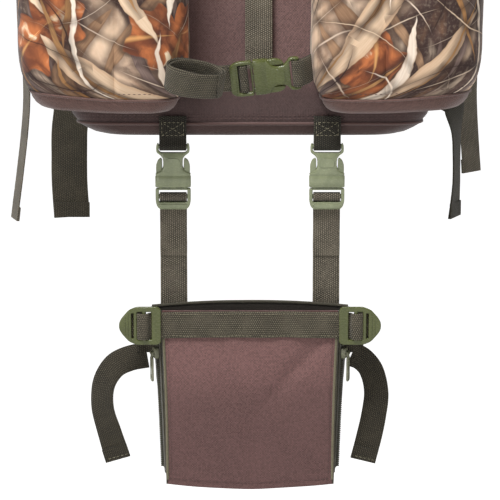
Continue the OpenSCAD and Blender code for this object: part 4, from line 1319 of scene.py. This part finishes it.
def back():
    pads = Piece("back_pads", "pack", ("back_pads",), (AIR_MESH,), slot="mesh_pad")
    for sx in (-1, 1):
        slab(pads, block_outline(sx * 62, 172, 46.5, 110.5, 26), -14.6, -3.2)
    inflate(pads.done(), seams=(line_at(2, 98), line_at(2, 147), line_at(2, 197), line_at(2, 246)))
    lumbar = Piece("lumbar_pad", "pack", ("lumbar_pad",), (AIR_MESH,), slot="mesh_pad")
    slab(lumbar, block_outline(0, 0, 118.5, 43.5, 26), -14.6, -3.2)
    inflate(lumbar.done(), seams=(line_at(0, -58), line_at(0, 0), line_at(0, 58)))
    yoke = Piece("yoke", "pack", ("yoke",), (PAD_CLOTH, BROWN_THREAD), slot="pack_fabric")
    slab(yoke, block_outline(0, 317.5, 94, 16.8, 4), -14.6, -4.4)
    inflate(yoke.done(), seams=(line_at(2, 303), line_at(2, 332)), cap=2.5)
    haul = Piece("haul_loop", "pack", ("haul_loop",), (WEB, THREAD), slot="webbing")
    path = [(-30, -1.2), (-22, -0.6), (-16.5, 3), (-16.6, 14), (-12, 26), (0, 30.5), (12, 26), (16.6, 14),
            (16.5, 3), (22, -0.6), (30, -1.2)]
    haul.ribbon([(at(x, y - 0.6, 317.5), UP) for x, y in path], WEBBING, 1.6)
    for x in (-26, 26):
        haul.stitches([at(x, -0.6, 308), at(x, -0.6, 327)], BACKWARD, 1)
    haul.done()


# ---- Shoulder straps ----

PAD_LINE = [(7, 0), (23, 8), (47, 2), (65, -30), (73, -90), (69, -150), (57, -196)]


def shoulder(side, sx):
    place = sided(sx) @ moved(62, -1.8, 317) @ turn(-13.5, "Y")
    body = f"shoulder_{side}"
    top = {"start": place @ at(0, 4, 0), "end": place @ at(0, 40, -4)}
    pad = Piece(f"shoulder_pad_{side}", body, (f"shoulder_pad_{side}",), (PAD_CLOTH,), place, "pack_fabric",
                bend=top)
    line = curve_through([Vector((0, y, z)) for y, z in PAD_LINE], 6)
    rings = []
    for k, spot in enumerate(line):
        ahead = (line[min(k + 1, len(line) - 1)] - line[max(k - 1, 0)]).normalized()
        out = Vector((0, -ahead.z, ahead.y))
        travelled = (spot - line[0]).length
        half = 30 - 12 * smoothstep(30, 0, travelled)
        edge = 1.0 if 0 < k < len(line) - 1 else 0.8
        rings.append([spot + Vector((p.x, 0, 0)) * edge + out * p.y * edge
                      for p in squircle(half, 5.2, 0, 44, 0.5)])
    pad.loft(rings)
    pad = pad.done()
    inflate(pad, cap=2.6)
    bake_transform(pad)
    lock_place = place @ moved(0, 56.4, -218) @ turn(-12, "X")
    ladder_lock(f"shoulder_lock_{side}", body, (f"shoulder_lock_{side}",), [lock_place @ turn(90, "Y")])
    name = f"shoulder_strap_{side}"
    strap = Piece(name, body, (name,), (WEB, THREAD), place, "webbing")
    strap.ribbon(route([(-2, -349.5), (5, -340), (16, -322), (38, -262), (50.2, -223.5), (53.2, -217.6),
                        (56.4, -214.9), (59.6, -218), (61.8, -227), (66, -245)]), WEBBING)
    strap.place = lock_place
    fold = [(-3.4, 26), (-3.2, 15), (-2.6, 7.5), (0, 5.4), (2.6, 7.5), (3.2, 15), (3.4, 26)]
    strap.ribbon(route(fold), 24, 1.4)
    strap.place = sided(sx)
    if sx < 0:
        tail, twist = [(160, 88), (205, 62), (228, 5), (229, -90), (243, -203)], 20
    else:
        tail, twist = [(160, 88), (203, 62), (222, 5), (223, -80), (228, -154)], 52
    stations = [(at(119, 63.4, 82), RIGHT), (at(126, 66.5, 87), Vector((0.7, 0.7, -0.2))),
                (at(140, 65.4, 90), BACKWARD)]
    for k, (x, z) in enumerate(tail):
        angle = math.radians(twist * min(1.0, k / 2))
        stations.append((at(x, 64.8, z), Vector((math.sin(angle), math.cos(angle), 0))))
    strap.ribbon(stations, WEBBING, steps=9)
    end, across = stations[-1]
    before = (end - stations[-2][0]).normalized()
    back_off = across.cross(before).normalized() * 1.6 * MM
    strap.ribbon([(end - before * 14 * MM + back_off, across), (end + back_off, across)], WEBBING)
    strap.done()
    front = Piece(f"shoulder_webbing_{side}", body, (), (WEB, THREAD), place, "webbing", bend=top)
    stations = []
    for k, spot in enumerate(line[2:], 2):
        ahead = (line[min(k + 1, len(line) - 1)] - line[k - 1]).normalized()
        stations.append((at(0, spot.y - ahead.z * 8.2, spot.z + ahead.y * 8.2), RIGHT))
    front.ribbon(stations, WEBBING, steps=2)
    for mark in (8, 16, 24, len(stations) - 4):
        spot = stations[mark][0]
        front.stitches([spot + at(-10, 1.1, 0), spot + at(10, 1.1, 0)], BACKWARD, 1)
    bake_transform(front.done())


# ---- Belt ----

BELT_Z = -66
BELT_TAIL = 36.0    # width of the webbing of its tails and loops


def belt():
    place = moved(-5, 8, BELT_Z) @ turn(90, "Y")
    socket("belt_socket", "pack", place, BELT_WEBBING)
    plug("belt_plug", "belt_left", place, BELT_WEBBING)
    right = Piece("belt_strap_right", "pack", ("belt_strap_right",), (WEB, THREAD), place, "webbing")
    round_lock = [(3.15, 112), (2.9, 116), (1.2, 119.8), (-1.6, 119.6), (-3.15, 117), (-2.9, 113.6)]
    path = [(-0.9, 56)] + SOCKET_TURN[1:-1] + [(1.6, 46), (2.8, 54), (3.15, 66)] + round_lock
    right.ribbon(route(path), BELT_WEBBING)
    tack(right, 0, 4.0, 60, BELT_WEBBING, 12, BACKWARD)
    right.done()
    slack = {"start": place @ at(0, 3, -34), "end": place @ at(0, 3, -98)}
    left = Piece("belt_strap_left", "pack", ("belt_strap_left",), (WEB, THREAD), place, "webbing", bend=slack)
    round_lock = [(-2.9, -103.6), (-3.15, -107), (-1.6, -109.8), (1.2, -109.9), (2.9, -106)]
    left.ribbon(route(round_lock + [(3.15, -102), (3.6, -60), (4.3, -34)] + PLUG_TURN), BELT_WEBBING)
    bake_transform(left.done())
    places = [moved(sx * 112, 8, BELT_Z) @ sided(-sx) for _, sx in SIDES]
    ladder_lock("belt_locks", "pack", ("belt_locks",), places, BELT_WEBBING)
    # the tails take the darker webbing: painted shade
    tails = Piece("belt_tails", "pack", ("belt_tails",), (SHADED_WEB, THREAD), slot="webbing")
    for _, sx in SIDES:
        out, turn_x = (1, 183) if sx > 0 else (-1, 157)
        level = ((113.5, 13.0), (122, 13.3), (134, 13.6), (turn_x, 12.4))
        stations = [(at(out * x, y, BELT_Z), UP) for x, y in level]
        twist = math.radians(74) if sx > 0 else 0
        for angle in range(15, 91, 15):
            c, s = math.cos(math.radians(angle)), math.sin(math.radians(angle))
            part = twist * 0.75 * s
            across = Vector((out * s * math.cos(part), s * math.sin(part), c))
            stations.append((at(out * (turn_x + 22 * s), 12.4 - 0.01 * angle, -88 + 22 * c), across))
        for share, x, y, z in ((0.95, 2.0, 11.2, -106), (1, 2.5, 11.8, -128), (1, 2.5, 11, -158),
                               (0.92, 0.5, 11.6, -193)):
            across = Vector((out * math.cos(twist * share), math.sin(twist * share), 0))
            stations.append((at(out * (turn_x + 22 + x), y, z), across))
        tails.ribbon(stations, BELT_TAIL, steps=5)
        end, across = stations[-1]
        fold = across.cross(UP) * out * 1.6 * MM
        tails.ribbon([(end + fold + at(0, 0, 15), across), (end + fold, across)], BELT_TAIL)
    tails.done()
    wings = Piece("belt_wings", "pack", ("belt_wings",), (PAD_CLOTH,), slot="pack_fabric")
    for _, sx in SIDES:
        slab(wings, block_outline(sx * 141, -57, 16, 27.5, 7), -14.5, -4.6, 2.2)
    inflate(wings.done(), cap=2.4)
    loops = Piece("belt_wing_loops", "pack", (), (WEB, THREAD), slot="webbing")
    path = ((146, -3), (137, -1), (131, 4.8), (124, 5.0), (118.6, 5.6), (117.2, 8), (118.6, 10.6),
            (124, 11.0), (132, 10.6), (140, 3), (147, -1.2))
    for _, sx in SIDES:
        loops.ribbon([(at(sx * x, y, BELT_Z), UP) for x, y in path], BELT_TAIL, 1.3)
    loops.done()


# ---- Lid ----

def lid():
    hood = Piece("lid_hood", "lid", ("lid_hood",), (CAMO, BROWN_THREAD, LINING), slot="camo_fabric")
    levels = ((372.2, 8.0, 38), (380, 7.6, 38), (390, 6.8, 36), (400, 5.8, 35), (408, 4.6, 34),
              (415, 1.8, 32), (420, -3, 30), (423.4, -9, 30), (425, -16, 30))
    rings = [bag_ring(z, 160 + out, 85 + out, radius, 0.8) for z, out, radius in levels]
    crown = rings[-1]
    middle = at(*BAG_MIDDLE, 425)
    for share, lift in ((0.8, 0.8), (0.5, 1.6), (0.2, 2.0), (0.02, 2.1)):
        rings.append([middle.lerp(p, share) + at(0, 0, lift + 0.6 * wrinkle(p, 70)) for p in crown])
    hood.panel(rings, 2.4, 0, 2, loop=True, uvs=unfolded_map(rings, BAG_MIDDLE, 425))
    for z, out in ((375, 7.9), (377.6, 7.8)):
        ring = bag_ring(z, 160 + out, 85 + out, 38, 0.8)
        for a, b in zip(ring[::3], ring[3::3] + ring[:1]):
            hood.stitches([a, b], ((a + b) / 2 - at(*BAG_MIDDLE, z)).normalized(), 1, pitch=4)
    flap = [[at(-120 + 240 * j / 30, -10.8 + 0.2 * math.sin(j * 0.7), 373 - 33 * i / 8) for j in range(31)]
            for i in range(9)]
    hood.panel(flap, 2.0, 2, 0)
    for z in (343.5, 347):
        hood.stitches([at(-117, -8.6, z), at(0, -8.6, z), at(117, -8.6, z)], BACKWARD, 1, pitch=4)
    hood.done()
    place = moved(8, -197, 327)
    socket("lid_socket", "lid", place)
    plug("lid_plug", "pack", place)
    upper = Piece("lid_upper_strap", "lid", ("lid_upper_strap",), (WEB, THREAD), place, "webbing")
    path = [(-3.6, 76), (-4.0, 62), (-2.4, 51)] + SOCKET_TURN + [(-0.7, 51), (-2.3, 62), (-2.0, 76)]
    upper.ribbon(route(path), WEBBING)
    tack(upper, 0, -4.9, 60, WEBBING, 12)
    upper.done()
    lower = Piece("lid_lower_strap", "pack", ("lid_lower_strap",), (WEB, THREAD), place, "webbing")
    anchor = [(10.7, -122), (10, -91), (7, -72), (4.7, -37)]
    tail = [(2.7, -47), (4, -127), (6, -227), (7, -297), (6.6, -354)]
    lower.ribbon(route(anchor + PLUG_TURN + tail), WEBBING)
    lower.ribbon(route([(5.2, -341), (5.1, -354)]), WEBBING)
    lower.stitches([at(-10, 4.2, -345), at(10, 4.2, -345)], FORWARD, 1)
    lower.done()


# ---- Studio ----

def studio():
    scene = bpy.context.scene
    scene.view_settings.view_transform = "Standard"
    world = bpy.data.worlds.new("studio")
    scene.world = world
    world.use_nodes = True
    background = world.node_tree.nodes["Background"]
    background.inputs[0].default_value = (1, 1, 1, 1)
    sky = Recipe.of_tree(world.node_tree)
    height = sky.split(Value(sky, sky.nodes.new("ShaderNodeTexCoord").outputs["Generated"]))[2]
    sky.feed(background.inputs[1], sky.step(0.17, 0.1, height) * 0.84 + 0.16)
    low = -1.6
    mesh = bpy.data.meshes.new("floor")
    mesh.from_pydata([(-80, -80, low), (80, -80, low), (80, 80, low), (-80, 80, low)], [], [(0, 1, 2, 3)])
    floor = bpy.data.objects.new("floor", mesh)
    paper = Recipe("glowing_paper")
    x, y, _ = paper.split(paper.place())
    away = (x * x + y * y).root()
    # painted light: the floor glows, faintly near the pack and brightly far from it, to show as a white
    # backdrop
    paper.feed(paper.shader.inputs["Emission Strength"], paper.step(1.6, 4.3, away) * 0.84 + 0.1)
    paper.shader.inputs["Emission Color"].default_value = (1, 1, 0.995, 1)
    mesh.materials.append(paper.finish((0.78, 0.78, 0.77)))
    scene.collection.objects.link(floor)
    for name, spot, size, power in (("key", (-0.6, -1.5, 2.3), 0.8, 100), ("fill", (-1.6, -2.2, 0.1), 1.2, 9),
                                    ("back", (0.8, 2.0, 1.8), 1.2, 60)):
        light = bpy.data.lights.new(name, "AREA")
        light.size, light.energy = size, power
        lamp = bpy.data.objects.new(name, light)
        lamp.location = spot
        lamp.rotation_euler = (Vector((0, -0.15, -0.05)) - Vector(spot)).to_track_quat("-Z", "Y").to_euler()
        scene.collection.objects.link(lamp)
    camera = bpy.data.cameras.new("camera")
    camera.lens, camera.clip_end = 171.2, 500
    holder = bpy.data.objects.new("camera", camera)
    target, elevation = Vector((0, -0.190, -0.195)), math.radians(9)
    holder.location = target + 2.2 * Vector((0, -math.cos(elevation), math.sin(elevation)))
    holder.rotation_euler = (math.pi / 2 - elevation, 0, 0)
    scene.collection.objects.link(holder)
    scene.camera = holder


PAD_CLOTH = oxford_material("padded_oxford", linear(96, 74, 70), linear(110, 87, 83), mapped=False)

bag()
pockets()
gun_strap()
lid()
back()
for side, sx in SIDES:
    shoulder(side, sx)
belt()
hanger()
boot_pouch()
boot_gussets()
boot_band()
boot_tails()
boot_zips()
sheet_piece = frame["nodes"]["frame_sheet"]
sheet_piece.data.materials.clear()
sheet_piece.data.materials.append(SHEET)
studio()

bpy.context.view_layer.update()
